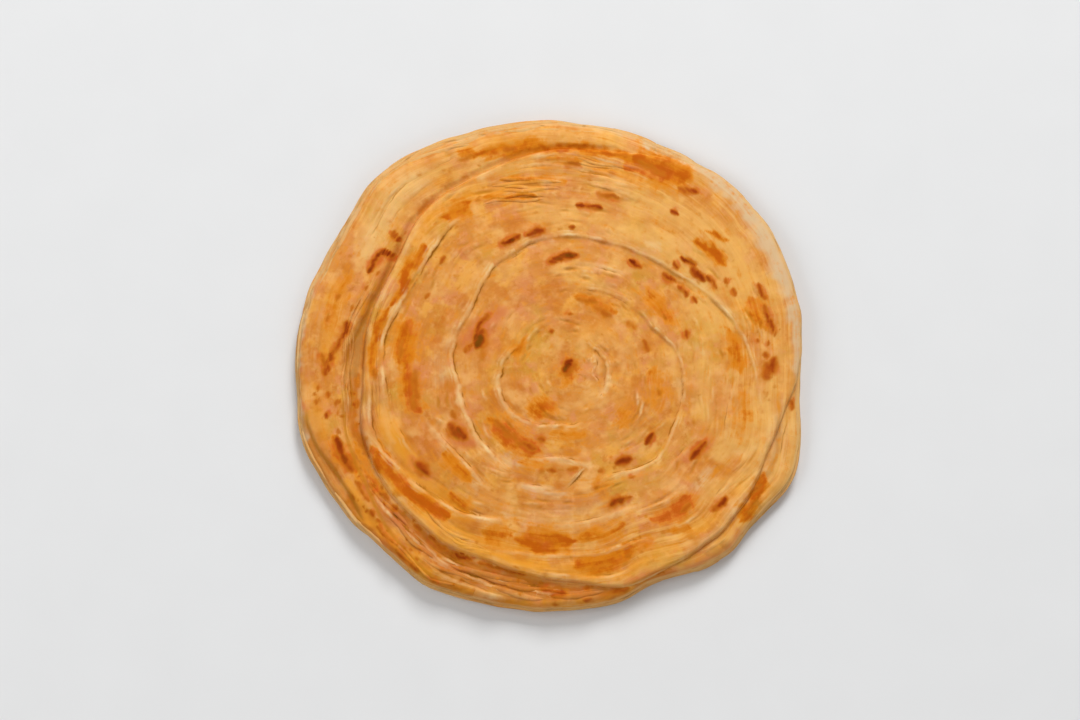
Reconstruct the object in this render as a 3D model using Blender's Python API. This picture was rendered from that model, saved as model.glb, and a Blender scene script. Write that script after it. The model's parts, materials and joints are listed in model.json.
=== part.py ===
# A coil-layered flatbread: a strip of dough pleated, wound round its own eye and rolled out flat.
# It is one piece. The outermost turn slid out underneath while it was rolled, so on the near side
# the rim shows two tiers, and the turns of the coil show as shallow overlapping folds on top.
#
# Metres in Blender, millimetres in the values below. +Z is up, +X right, +Y away from the cook.
# The origin is the middle of the flat underside. A place on the bread is given by its bearing in
# degrees from +X, counter-clockwise, and its reach: 0 at the eye of the coil, 90 at the rim.

import math

import bmesh
import bpy
import numpy as np

MM = 0.001

# The disc
RIM_RADIUS = 88.3
RIM_REACH = 90.0
EYE_OFFSET = (9.5, -5.0)
CROWN_HEIGHT = 10.3
CROWN_FALL = 1.5
WALL_HEIGHT = 3.1
WALL_TUCK = 2.6
TOP_ROLL = 7.0
TIER_HEIGHT = 5.9
TIER_ROLL = 4.2

# Each swelling of the rim: bearing, half width in degrees, height
RIM_SWELLINGS = (
    (37, 22, 3.4),
    (15, 15, 1.4),
    (131, 13, 4.0),
    (172, 14, 2.4),
    (198, 12, 3.6),
    (217, 9, 1.6),
    (240, 10, 1.8),
    (295, 7, -1.8),
    (313, 10, 4.2),
    (335, 11.5, 7.0),
    (355, 9, 0.6),
)

# The folds: bearing and reach of the points each one runs through. Bearings past 360 go on round.
# At an overlap the outer turn lies on the inner one, so its edge stands up outside the crease.
LIP = 0.9
LIP_WIDTH = 3.8
CREASE = 1.15
CREASE_WIDTH = 2.6
FOLD_EDGE = 0.5
FOLD_FADE = 14.0
FOLDS = (
    {
        "name": "coil",
        "size": 1.0,
        "points": (
            (-14, 74.5), (13, 64), (38, 52), (65, 48.5), (104, 47), (130, 41), (160, 40),
            (195, 37.5), (228, 39.5), (256, 44.5), (284, 43.5), (317, 44.5), (335, 41), (360, 41.5),
            (376, 36.5), (393, 32.3), (424, 31), (470, 27), (518, 21), (545, 24.5), (570, 25.5),
            (600, 21.5), (634, 19), (665, 17),
        ),
    },
    {
        "name": "outer turn",
        "size": 1.5,
        "points": ((140, 70), (170, 71), (190, 75.5), (215, 80), (246, 88.5)),
    },
    {
        "name": "third turn",
        "size": 1.2,
        "points": ((118, 62.5), (135, 60), (155, 60.5), (175, 62.5), (200, 68)),
    },
    {
        "name": "near turn",
        "size": 0.8,
        "points": ((196, 70.5), (215, 68.5), (233, 64), (252, 58.5), (285, 57)),
    },
    {
        "name": "right turn",
        "size": 0.6,
        "points": ((282, 66), (305, 60.5), (330, 60), (352, 66), (372, 76)),
    },
    {
        "name": "left turn",
        "size": 0.7,
        "points": ((170, 51), (196, 49.5), (218, 50), (236, 52), (262, 54)),
    },
    {"name": "flap", "size": 0.9, "points": ((246, 36), (262, 33), (280, 35.5), (296, 39))},
    {"name": "eye", "size": 1.0, "points": ((-62, 12.5), (-30, 10.5), (5, 9.5), (50, 11), (80, 13.5))},
    {"name": "far strand", "size": 0.7, "points": ((76, 62), (95, 64.5), (112, 67.5), (130, 70))},
    {"name": "far rim strand", "size": 0.6, "points": ((52, 75), (78, 73.5), (104, 74.5), (132, 77.5))},
)

# The edge of the upper tier, where the surface drops to the lower one
TIER_EDGE_WIDTH = 1.3
TIER_EDGES = (
    {
        "name": "near edge",
        "points": ((180, 70), (205, 73), (235, 75.5), (260, 77.5), (278, 81.5), (294, 90)),
    },
    {
        "name": "right edge",
        "points": ((294, 90), (310, 82.5), (324, 82.5), (336, 78), (348, 83.5), (365, 91)),
    },
)
TIER_FADE = 14.0

# How finely it is modelled
BEARINGS = 180
REACH_STEP = 1.15
TRIANGLES = 9200

CRUST_COLOUR = (0.68, 0.28, 0.055, 1.0)
CRUST_ROUGHNESS = 0.48


def rim_radius(bearing):
    """Distance from the middle of the disc to the rim."""
    radius = RIM_RADIUS
    for middle, width, height in RIM_SWELLINGS:
        away = (bearing - middle + 180.0) % 360.0 - 180.0
        radius += height * math.exp(-((away / width) ** 2))
    return radius


def smooth(value):
    """0 below 0, 1 above 1, and an even slope between."""
    value = np.clip(value, 0.0, 1.0)
    return value * value * (3.0 - 2.0 * value)


def along(points, bearing):
    """Reach of the smooth line through the points, at a bearing between the first and the last."""
    bearings = [point[0] for point in points]
    reaches = [point[1] for point in points]
    slopes = np.gradient(reaches, bearings)
    after = int(np.clip(np.searchsorted(bearings, bearing), 1, len(points) - 1))
    before = after - 1
    span = bearings[after] - bearings[before]
    t = (bearing - bearings[before]) / span
    return (
        (2 * t**3 - 3 * t**2 + 1) * reaches[before]
        + (t**3 - 2 * t**2 + t) * span * slopes[before]
        + (3 * t**2 - 2 * t**3) * reaches[after]
        + (t**3 - t**2) * span * slopes[after]
    )


def passes(points, bearing):
    """Each time a line passes a bearing: its reach there, and how far in degrees to its nearer end."""
    first = points[0][0]
    last = points[-1][0]
    found = []
    turn = bearing + 360.0 * math.ceil((first - bearing) / 360.0)
    while turn <= last:
        found.append((along(points, turn), min(turn - first, last - turn)))
        turn += 360.0
    return found


def fold_relief(bearing, reaches):
    """Height that the overlapping turns add along one ray from the eye."""
    relief = np.zeros_like(reaches)
    for fold in FOLDS:
        for line, to_end in passes(fold["points"], bearing):
            outside = reaches - line
            raised = LIP * np.exp(-np.clip(outside, 0.0, None) / LIP_WIDTH)
            sunk = -CREASE * np.exp(np.clip(outside, None, 0.0) / CREASE_WIDTH)
            side = 0.5 + 0.5 * np.tanh(outside / FOLD_EDGE)
            fade = fold["size"] * smooth(to_end / FOLD_FADE)
            relief += fade * (sunk + (raised - sunk) * side)
    return relief


def on_lower_tier(bearing, reaches):
    """1 where the upper tier has ended, 0 on it."""
    lower = np.zeros_like(reaches)
    for edge in TIER_EDGES:
        for line, to_end in passes(edge["points"], bearing):
            past = smooth((reaches - line) / TIER_EDGE_WIDTH)
            lower = np.maximum(lower, past * smooth(to_end / TIER_FADE))
    return lower


def top_heights(bearing, reaches):
    """Height of the top surface along one ray from the eye to the rim."""
    part_way = reaches / RIM_REACH
    lower = on_lower_tier(bearing, reaches)
    crown = CROWN_HEIGHT - CROWN_FALL * part_way**3
    level = crown + (TIER_HEIGHT - crown) * lower
    level = level + fold_relief(bearing, reaches)
    from_rim = RIM_REACH - reaches
    roll = TOP_ROLL + (TIER_ROLL - TOP_ROLL) * lower
    over = np.clip(1.0 - from_rim / roll, 0.0, 1.0)
    return WALL_HEIGHT + (level - WALL_HEIGHT) * np.sqrt(1.0 - over**2)


def place(bearing, reach, height):
    """A point in metres: rays leave the eye and meet the rim at their own bearing."""
    part_way = reach / RIM_REACH
    angle = math.radians(bearing)
    out = part_way * rim_radius(bearing)
    x = EYE_OFFSET[0] * (1.0 - part_way) + out * math.cos(angle)
    y = EYE_OFFSET[1] * (1.0 - part_way) + out * math.sin(angle)
    return (x * MM, y * MM, height * MM)


def ring(mesh, reach, heights):
    """One closed loop of points round the disc."""
    step = 360.0 / BEARINGS
    return [mesh.verts.new(place(k * step, reach, height)) for k, height in enumerate(heights)]


def bridge(mesh, inner, outer):
    """Faces between two loops, the first nearer the middle of the top."""
    for k in range(BEARINGS):
        after = (k + 1) % BEARINGS
        mesh.faces.new((inner[k], outer[k], outer[after], inner[after]))


def to_middle(loop):
    """The move that puts the middle of a loop's box on the Z axis."""
    xs = [vert.co.x for vert in loop]
    ys = [vert.co.y for vert in loop]
    return (-0.5 * (min(xs) + max(xs)), -0.5 * (min(ys) + max(ys)), 0.0)


def build_mesh():
    """The whole skin, and the indices of the points on the flat underside."""
    mesh = bmesh.new()
    count = int(RIM_REACH / REACH_STEP)
    reaches = np.linspace(0.0, RIM_REACH, count + 1)[1:]
    step = 360.0 / BEARINGS
    heights = np.array([top_heights(k * step, reaches) for k in range(BEARINGS)])

    loops = [ring(mesh, reach, heights[:, row]) for row, reach in enumerate(reaches)]
    loops.append(ring(mesh, RIM_REACH - 0.35 * WALL_TUCK, [0.3 * WALL_HEIGHT] * BEARINGS))
    loops.append(ring(mesh, RIM_REACH - WALL_TUCK, [0.0] * BEARINGS))
    for inner, outer in zip(loops, loops[1:]):
        bridge(mesh, inner, outer)

    eye = mesh.verts.new(place(0.0, 0.0, float(heights[:, 0].mean())))
    middle = mesh.verts.new((0.0, 0.0, 0.0))
    for k in range(BEARINGS):
        after = (k + 1) % BEARINGS
        mesh.faces.new((eye, loops[0][k], loops[0][after]))
        mesh.faces.new((middle, loops[-1][after], loops[-1][k]))

    bmesh.ops.translate(mesh, verts=mesh.verts[:], vec=to_middle(loops[-3]))
    middle.co = (0.0, 0.0, 0.0)
    bmesh.ops.triangulate(mesh, faces=mesh.faces[:])
    mesh.verts.index_update()
    underside = [vert.index for vert in loops[-1]] + [middle.index]
    return mesh, underside


def crust_material():
    """Pan-browned dough with a film of fat."""
    material = bpy.data.materials.new("browned_crust")
    material.use_nodes = True
    shader = material.node_tree.nodes["Principled BSDF"]
    shader.inputs["Base Color"].default_value = CRUST_COLOUR
    shader.inputs["Roughness"].default_value = CRUST_ROUGHNESS
    shader.inputs["Metallic"].default_value = 0.0
    material.diffuse_color = CRUST_COLOUR
    return material


def make_paratha():
    """The bread as one object, thinned to large facets where it is smooth."""
    mesh, underside = build_mesh()
    data = bpy.data.meshes.new("paratha")
    mesh.to_mesh(data)
    mesh.free()
    data.shade_smooth()
    data.materials.append(crust_material())

    bread = bpy.data.objects.new("paratha", data)
    bpy.context.scene.collection.objects.link(bread)

    crust = bread.vertex_groups.new(name="crust")
    kept = set(underside)
    crust.add([v.index for v in data.vertices if v.index not in kept], 1.0, "REPLACE")
    thin = bread.modifiers.new("thin", "DECIMATE")
    thin.decimate_type = "COLLAPSE"
    thin.ratio = TRIANGLES / len(data.polygons)
    thin.vertex_group = crust.name
    return bread


def main():
    for old in list(bpy.data.objects):
        bpy.data.objects.remove(old, do_unlink=True)
    make_paratha()


main()
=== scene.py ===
import json
import math

import bpy
import numpy as np
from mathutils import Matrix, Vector

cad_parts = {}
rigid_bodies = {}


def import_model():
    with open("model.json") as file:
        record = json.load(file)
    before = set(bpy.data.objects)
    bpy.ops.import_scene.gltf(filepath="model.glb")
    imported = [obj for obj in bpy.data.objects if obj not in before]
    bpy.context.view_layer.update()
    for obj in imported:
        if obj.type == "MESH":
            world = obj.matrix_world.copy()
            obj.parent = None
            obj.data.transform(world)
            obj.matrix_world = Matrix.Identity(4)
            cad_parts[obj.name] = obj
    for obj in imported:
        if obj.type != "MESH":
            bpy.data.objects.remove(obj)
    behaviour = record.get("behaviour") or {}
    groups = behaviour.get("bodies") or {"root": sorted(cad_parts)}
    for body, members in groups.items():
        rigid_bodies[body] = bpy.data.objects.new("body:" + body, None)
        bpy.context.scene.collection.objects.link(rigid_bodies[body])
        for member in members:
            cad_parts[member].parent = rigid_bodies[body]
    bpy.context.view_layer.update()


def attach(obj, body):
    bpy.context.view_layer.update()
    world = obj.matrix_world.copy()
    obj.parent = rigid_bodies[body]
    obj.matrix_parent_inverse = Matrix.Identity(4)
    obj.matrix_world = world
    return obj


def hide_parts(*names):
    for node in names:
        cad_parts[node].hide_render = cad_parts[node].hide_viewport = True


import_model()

# Bearings are degrees counter-clockwise from +X.
# Reach runs from 0 at the eye of the coil to 90 at the rim.
# Sizes are millimetres until a piece is made, and metres in the finished meshes.
mm = 0.001

disc = {
    "rimRadius": 88.3,
    "rimReach": 90.0,
    "eye": (9.5, -5.0),
    # bearing, half width in degrees, height
    "swellings": (
        (37, 22, 3.4), (15, 15, 1.4), (131, 13, 4.0), (172, 14, 2.4), (198, 12, 3.6), (217, 9, 1.6),
        (240, 10, 1.8), (295, 7, -1.8), (313, 10, 4.2), (335, 11.5, 7.0), (355, 9, 0.6),
    ),
    "wobble": 0.32,
    "crown": 10.3,
    "crownFall": 1.5,
    "waviness": 0.42,
    "dimples": 0.13,
}


def easing(value):
    value = np.clip(value, 0.0, 1.0)
    return value * value * (3.0 - 2.0 * value)


def latticeAt(lattice, u, v):
    # a lattice of seeded values, read smoothly between its points
    rows, columns = lattice.shape
    i, j = np.floor(u).astype(int), np.floor(v).astype(int)
    a, b = easing(u - i), easing(v - j)
    low = lattice[i % rows, j % columns] * (1 - a) + lattice[(i + 1) % rows, j % columns] * a
    high = lattice[i % rows, (j + 1) % columns] * (1 - a) + lattice[(i + 1) % rows, (j + 1) % columns] * a
    return low * (1 - b) + high * b


def doughNoise(x, y, size, seed):
    # smooth seeded noise from -1 to 1, with features about this size across
    lattice = np.random.default_rng(seed).uniform(-1.0, 1.0, (64, 64))
    turn = 0.7 * seed
    u = (x * math.cos(turn) + y * math.sin(turn)) / size + 31.7
    v = (y * math.cos(turn) - x * math.sin(turn)) / size + 23.1
    return latticeAt(lattice, u, v)


def roundNoise(bearing, cycles, seed):
    # seeded noise round the disc, from about -1 to 1
    draw = np.random.default_rng(seed)
    total = np.zeros_like(bearing, dtype=float)
    for wave in range(5):
        count = int(cycles * (1 + 0.45 * wave)) + 1
        total += draw.uniform(0.3, 1.0) * np.sin(np.radians(bearing) * count + draw.uniform(0, 6.28))
    return total / 2.2


def streakNoise(bearing, reach, cells, thin, seed):
    # seeded noise drawn out along the turns: cells round the disc, thin across the turns
    lattice = np.random.default_rng(seed).uniform(-1.0, 1.0, (cells, 256))
    u = (bearing[:, None] % 360.0) / 360.0 * cells + np.zeros_like(reach)
    return latticeAt(lattice, u, reach / thin + 7.3)


def rimAt(bearing):
    bearing = np.asarray(bearing, dtype=float)
    radius = np.full_like(bearing, disc["rimRadius"])
    for middle, width, height in disc["swellings"]:
        away = (bearing - middle + 180.0) % 360.0 - 180.0
        radius += height * np.exp(-((away / width) ** 2))
    return radius


def outlineMiddle():
    bearing = np.arange(0.0, 360.0, 2.0)
    x = rimAt(bearing) * np.cos(np.radians(bearing))
    y = rimAt(bearing) * np.sin(np.radians(bearing))
    return 0.5 * (x.min() + x.max()), 0.5 * (y.min() + y.max())


discMiddle = outlineMiddle()


def planOf(bearing, reach):
    # rays leave the eye and meet the rim at their own bearing
    part = reach / disc["rimReach"]
    out = part * (rimAt(bearing) + disc["wobble"] * roundNoise(bearing, 16, 5) * part**6)
    x = disc["eye"][0] * (1 - part) + out * np.cos(np.radians(bearing)) - discMiddle[0]
    y = disc["eye"][1] * (1 - part) + out * np.sin(np.radians(bearing)) - discMiddle[1]
    return x, y


def bearingReachOf(x, y):
    # the other way round: bearing and reach of points on the plan
    around = np.arange(-20.0, 380.5, 0.5)
    rimX, rimY = planOf(around, np.full_like(around, disc["rimReach"]))
    eyeX, eyeY = planOf(0.0, 0.0)
    seenAt = np.degrees(np.unwrap(np.arctan2(rimY - eyeY, rimX - eyeX)))
    angle = np.degrees(np.arctan2(y - eyeY, x - eyeX)) % 360.0
    bearing = np.interp(angle, seenAt, around)
    full = np.interp(angle, seenAt, np.hypot(rimX - eyeX, rimY - eyeY))
    return bearing, disc["rimReach"] * np.hypot(x - eyeX, y - eyeY) / full


def lineThrough(points, bearing):
    # reach of the smooth line through the points, and degrees to its nearer end, below 0 where it isn't
    bearings = np.array([point[0] for point in points], dtype=float)
    reaches = np.array([point[1] for point in points], dtype=float)
    slopes = np.gradient(reaches, bearings)
    after = np.clip(np.searchsorted(bearings, bearing), 1, len(points) - 1)
    before = after - 1
    span = bearings[after] - bearings[before]
    t = np.clip((bearing - bearings[before]) / span, 0.0, 1.0)
    line = (
        (2 * t**3 - 3 * t**2 + 1) * reaches[before]
        + (t**3 - 2 * t**2 + t) * span * slopes[before]
        + (3 * t**2 - 2 * t**3) * reaches[after]
        + (t**3 - t**2) * span * slopes[after]
    )
    return line, np.minimum(bearing - bearings[0], bearings[-1] - bearing)


def passesOf(points, bearing):
    # a line that winds past 360 passes some bearings more than once
    for turn in (-360.0, 0.0, 360.0, 720.0):
        line, toEnd = lineThrough(points, bearing + turn)
        if toEnd.max() > 0:
            yield line, toEnd


def aroundValue(points, bearing):
    # one value at each bearing, through points that go once round
    first, last = points[0], points[-1]
    closed = ((last[0] - 360, last[1]),) + tuple(points) + ((first[0] + 360, first[1]),)
    return lineThrough(closed, bearing)[0]


# The coil's folds. over: the outer turn lies on the inner one. under: the inner one lies on top.
# lip: like over, but pressed shut. crease: a thin closed line. crest: a thin raised line.
# Size is in millimetres, and points are bearing and reach.
coilFolds = {
    "longTurnStart": ("lip", 0.8, (
        (-16, 75), (5, 68), (13, 64), (20, 60), (28, 56), (38, 52), (48, 50), (65, 48.5), (92, 47.6),
        (104, 47), (112, 45.6),
    )),
    "longTurn": ("over", 0.85, (
        (98, 47.3), (104, 47), (115, 45), (125, 43), (132, 41.2), (145, 40), (160, 40), (182, 39),
        (190, 37.6), (200, 37.5), (210, 38.5), (220, 39.5), (235, 40.3), (246, 41),
    )),
    "secondTurn": ("over", 0.9, (
        (284, 43.2), (300, 43.6), (317, 44.5), (325, 43.5), (331, 41.6), (336, 41), (343, 42),
        (351, 42.6), (358, 42),
    )),
    "secondTurnLip": ("lip", 0.9, (
        (340, 41.6), (351, 42.6), (360, 41.5), (370, 39), (376, 36.3), (385, 33.4), (393, 32.3),
        (402, 31.5),
    )),
    "secondTurnEnd": ("over", 0.45, ((385, 33.4), (393, 32.3), (402, 31.5), (420, 31), (444, 29.5))),
    "innerTurn": ("over", 0.7, (
        (154, 20.5), (165, 22), (180, 24), (192, 24.7), (215, 25), (235, 23), (250, 20.6), (268, 19.5),
        (284, 19),
    )),
    "eyeOuter": ("over", 0.6, ((-48, 13.4), (-30, 11.4), (0, 11.6), (25, 11.2), (50, 10.6), (70, 11.5))),
    "eyeInner": ("under", 0.6, ((-30, 9.5), (0, 7.2), (20, 8.3), (50, 10.4))),
    "strongTurn": ("over", 0.95, (
        (120, 62.5), (130, 61), (136, 60), (146, 60), (156, 60.5), (165, 61), (173, 62), (186, 61.5),
        (196, 60),
    )),
    "leftTurn": ("over", 0.6, ((184, 60.2), (192, 60.2), (200, 60), (208, 60), (216, 59.4))),
    "fourthTurn": ("over", 0.85, ((199, 50.5), (210, 49.2), (222, 48.6), (234, 49.6), (242, 51))),
    "nearTurn": ("over", 0.75, (
        (214, 66.8), (219, 66.2), (226, 65), (234, 63.6), (242, 61), (252, 58.8), (262, 58),
    )),
    "paleFold": ("over", 0.6, ((246, 43.6), (254, 44.3), (262, 44.4), (270, 45.6))),
    "flapEnd": ("under", 0.8, ((268, 45.5), (274, 42), (279, 38.8), (285, 35.6))),
    "flapLip": ("over", 0.7, (
        (246, 34.5), (254, 33.6), (262, 32.2), (270, 32.6), (278, 34.2), (288, 36.5),
    )),
    "rightFold": ("crease", 0.5, ((293, 61), (300, 60.3), (308, 59.4), (318, 58.8))),
    "rightFoldTwo": ("over", 0.45, ((311, 50.2), (318, 50.6), (325, 51.1), (331, 52))),
    "rightNick": ("crease", 0.5, ((318, 72), (323, 72.2), (329, 71.6))),
    "edgeLine": ("crease", 0.6, ((274, 77), (280, 78.7), (286, 80.2), (293, 81.2))),
    "lowLine": ("crease", 0.4, ((254, 53.2), (262, 52.8), (270, 52.3), (278, 52))),
    "highLine": ("crease", 0.4, ((125, 54.4), (132, 53.4), (140, 52.2))),
    "stripeLine": ("over", 0.85, (
        (182, 65.4), (194, 66.6), (200, 67.5), (207, 68.1), (214, 66.4), (224, 64.2),
    )),
    "farStrandOne": ("over", 0.55, ((84, 64.6), (92, 65.8), (99, 67.6), (108, 70.2))),
    "farStrandTwo": ("over", 0.5, ((84, 61.8), (92, 62.2), (100, 63), (113, 64.4))),
    "farStrandThree": ("crease", 0.5, ((64, 71.4), (78, 71.6), (92, 73), (107, 73.2))),
    "farStrandFour": ("over", 0.45, ((56, 67.4), (66, 66.6), (78, 67.2), (88, 68.6))),
    "rimStrand": ("crease", 0.55, ((60, 78.2), (72, 76.2), (86, 76.6), (100, 75.4))),
    "greyCrease": ("crease", 0.45, ((50, 38.6), (58, 39.3), (72, 38.6), (86, 38))),
    "rightFaint": ("over", 0.35, ((330, 60.5), (340, 60), (352, 62), (364, 66))),
    "lowFaint": ("over", 0.4, ((262, 57.6), (276, 57.2), (290, 57.6), (304, 60))),
}

# thin raised lines: size, points
paleCrests = (
    (1.0, ((303, 34), (311, 33.4), (322, 33.6))),
    (1.0, ((318, 31), (327, 29), (336, 27.2), (346, 26.4))),
    (1.0, ((331, 24.6), (338, 24.4), (347, 24.2))),
    (0.9, ((338, 31), (346, 29.4), (354, 28.4), (362, 27.4))),
    (1.1, ((246, 21.4), (256, 20.6), (270, 20.6))),
    (0.9, ((336, 60.6), (342, 62), (347, 65), (353, 66))),
    (0.9, ((255, 34), (265, 32.6), (275, 32.8), (284, 35.4))),
    (0.9, ((297, 61.8), (306, 60.8), (316, 61.4))),
    (0.8, ((62, 36), (70, 34.4), (80, 35), (90, 36))),
    (0.9, ((206, 34), (212, 35), (222, 37), (232, 36.6))),
    (0.8, ((20, 34), (28, 33.4), (36, 33))),
    (0.8, ((348, 52), (358, 53), (368, 51))),
    (0.8, ((186, 31.4), (196, 30.6), (208, 30.8))),
    (0.8, ((140, 37.6), (150, 38), (158, 37.8))),
)

# short closed lines: size, points
shortCreases = (
    (0.7, ((235, 61.4), (240, 60.4), (246, 59.8))),
    (0.6, ((231, 45), (236, 44), (243, 42.6))),
    (0.5, ((42, 31.8), (52, 31.6), (62, 31))),
    (0.5, ((300, 59.6), (308, 59), (318, 58.6))),
    (0.5, ((318, 50.4), (324, 50.8), (330, 50.6))),
    (0.5, ((104, 46), (112, 44.6), (124, 43.4))),
)

orangeStep = ("over", 0.4, ((248, 70.4), (262, 69.4), (278, 69.6), (292, 71.6), (304, 75)))


farFromFolds = 3.0  # a fold's trace is lost past this distance


def ridge(outside, middle, width):
    # 1 at this distance outside a line, fading over this width
    return np.exp(-(((outside - middle) / width) ** 2))


# Each shape gives the height, the pale lips with their painted highlight, and the painted shade in the
# creases along one line.
def strandShape(outside, strength, width):
    dip = ridge(outside, 0, width)
    height = strength * (0.18 * ridge(outside, 0, 2.2) - 0.42 * dip)
    # painted shade in the dip, and pale lips, partly painted highlight, on both sides
    return height, 0.45 * strength * ridge(np.abs(outside), 1.1, 0.7), 0.6 * strength * dip


def crestShape(outside, strength):
    # a pale crest with painted highlight, and painted shade just inside it
    height = strength * (0.26 * ridge(outside, 0, 0.9) - 0.12 * ridge(outside, -1.2, 0.6))
    return height, 0.85 * strength * ridge(outside, 0, 0.65), 0.4 * strength * ridge(outside, -1.1, 0.5)


def turnShape(kind, outside, strength, gaping, bold):
    if kind == "crease":
        dip = ridge(outside, 0, 0.4)
        height = strength * (0.25 * ridge(outside, 0, 2.0) - 0.6 * dip)
        # painted shade along the closed line
        creaseShade = 0.5 * strength * dip
    else:
        # the outer turn swells beyond its lip, and the inner one sinks towards it
        beyond, within = np.clip(outside, 0.0, None), np.clip(outside, None, 0.0)
        raised = 0.42 * np.exp(-beyond / 3.6) + 0.34 * ridge(outside, 4.2, 3.2)
        sunk = -0.38 * np.exp(within / 2.6) - 0.26 * np.exp(within / 6.0)
        side = 0.5 + 0.5 * np.tanh(outside / 0.5)
        height = strength * (sunk + (raised - sunk) * side) - 0.28 * gaping * ridge(outside, -0.35, 0.36)
        # painted shade: in the gaping crease, and darker towards the line on the lower, inner side
        before = np.exp(within / 2.4) * np.clip(0.5 - outside, 0, 1)
        creaseShade = np.maximum(0.5 * gaping * ridge(outside, -0.4, 0.6), 0.3 * strength * before)
    # a pale lip, and a broad painted highlight on the raised outer side
    lipsAndHighlights = np.maximum(0.4 * bold * ridge(outside, 1.4, 1.2), 0.3 * strength * ridge(outside, 2.5, 2.4))
    return height, lipsAndHighlights, creaseShade


def openingOf(kind, bearing, number):
    # how far a fold gapes along its length, and how bold its lip is
    wide = 0.5 + 0.8 * roundNoise(bearing, 8, 190 + number) + 0.4 * roundNoise(bearing, 29, 290 + number)
    gaping = (0.25 if kind == "lip" else 1.0) * np.clip(wide, 0.0, 1.2)
    bold = np.clip(0.6 + 0.6 * roundNoise(bearing, 13, 240 + number), 0.1, 1.2)
    return gaping[:, None], bold[:, None]


def foldRelief(folds, bearing, reach):
    # height that the folds add, and their traces: how pale the lips are, partly as painted highlight, and
    # how dark the painted shade in the creases is, then distance from the nearest line, how open it is and
    # how bold its lip
    relief = np.zeros_like(reach)
    traces = np.zeros((*reach.shape, 5))
    traces[..., 2] = farFromFolds
    for number, (kind, size, points) in enumerate(folds):
        for line, toEnd in passesOf(points, bearing):
            here = np.nonzero(toEnd > 0)[0]
            along = bearing[here]
            wander = 0.22 * roundNoise(along, 9, 40 + number) + 0.10 * roundNoise(along, 37, 140 + number)
            uneven = np.clip(0.85 + 0.45 * roundNoise(along, 11, 90 + number), 0.25, 1.4)
            ending = min(12.0, 0.5 * (points[-1][0] - points[0][0]))
            strength = (size * easing(toEnd[here] / ending) * uneven)[:, None]
            outside = reach[here] - (line[here] + wander)[:, None]
            if kind == "strand":
                height, lipsAndHighlights, creaseShade = strandShape(outside, strength, 0.3 + 0.3 * size)
            elif kind == "crest":
                height, lipsAndHighlights, creaseShade = crestShape(outside, strength)
            else:
                outside = -outside if kind == "under" else outside
                gaping, bold = (part * strength for part in openingOf(kind, along, number))
                height, lipsAndHighlights, creaseShade = turnShape(kind, outside, strength, gaping, bold)
                shown = easing((farFromFolds - np.abs(outside)) / 1.2)
                closer = np.abs(outside) < np.abs(traces[here, :, 2])
                nearest = np.stack([outside, gaping * shown, bold * shown], axis=-1)
                traces[here, :, 2:] = np.where(closer[..., None], nearest, traces[here, :, 2:])
            relief[here] += height
            traces[here, :, 0] = np.maximum(traces[here, :, 0], lipsAndHighlights)
            traces[here, :, 1] = np.maximum(traces[here, :, 1], creaseShade)
    return relief, traces


crestShare = 0.4


def scatteredStrands(zones, seed):
    # fine creases between the strands of a zone: bearings, reach at both ends, half depth, count, longest
    draw = np.random.default_rng(seed)
    strands = []
    for fromBearing, toBearing, fromReach, toReach, halfDepth, count, longest in zones:
        for k in range(count):
            long = longest * draw.uniform(0.35, 1.0)
            start = draw.uniform(fromBearing, max(fromBearing, toBearing - long))
            across = draw.uniform(-1, 1) * halfDepth
            slope = (toReach - fromReach) / (toBearing - fromBearing)
            points = []
            for part in (0.0, 0.33, 0.67, 1.0):
                along = start + part * long
                middle = fromReach + slope * (along - fromBearing)
                points.append((along, middle + across + draw.uniform(-0.5, 0.5)))
            kind = "crest" if draw.uniform() < crestShare else "strand"
            strands.append((kind, draw.uniform(0.35, 1.0), tuple(points)))
    return strands


upperStrands = scatteredStrands((
    (86, 120, 63, 69.5, 5.0, 18, 24), (58, 84, 71.5, 66, 4.0, 10, 16), (64, 112, 74, 76, 3.0, 12, 22),
    (112, 134, 74, 69, 4.0, 8, 16), (150, 205, 64.5, 66.5, 3.4, 16, 26), (205, 262, 72, 71, 3.6, 12, 26),
    (210, 262, 64, 55, 4.0, 10, 18), (134, 180, 58, 59, 3.0, 8, 24), (262, 305, 73, 76, 5.0, 10, 20),
    (300, 350, 72, 76, 5.0, 10, 18), (0, 46, 80, 62, 8.0, 22, 16), (10, 46, 62, 46, 5.0, 10, 16),
    (320, 380, 56, 56, 6.0, 10, 20), (236, 300, 50, 50, 6.0, 18, 18), (20, 110, 33, 31, 4.0, 14, 20),
    (50, 120, 39, 37, 3.0, 10, 18), (120, 240, 30, 30, 5.0, 12, 22), (300, 360, 33, 33, 5.0, 14, 20),
    (300, 380, 25, 24, 4.0, 8, 24), (200, 250, 46, 45, 3.0, 8, 16), (60, 180, 18, 18, 5.0, 10, 36),
    (180, 300, 14, 14, 5.0, 8, 40), (-20, 70, 10, 10, 5.0, 10, 44), (110, 200, 54, 52, 3.6, 10, 18),
    (60, 110, 56, 56, 4.0, 10, 16), (140, 210, 46, 45, 3.6, 8, 18), (300, 340, 56, 56, 5.0, 8, 14),
    (350, 400, 46, 44, 5.0, 10, 16),
), 63)

upperFolds = [
    *coilFolds.values(),
    *(("crest", size, points) for size, points in paleCrests),
    *(("crease", size, points) for size, points in shortCreases),
    orangeStep,
    *upperStrands,
]

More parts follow.
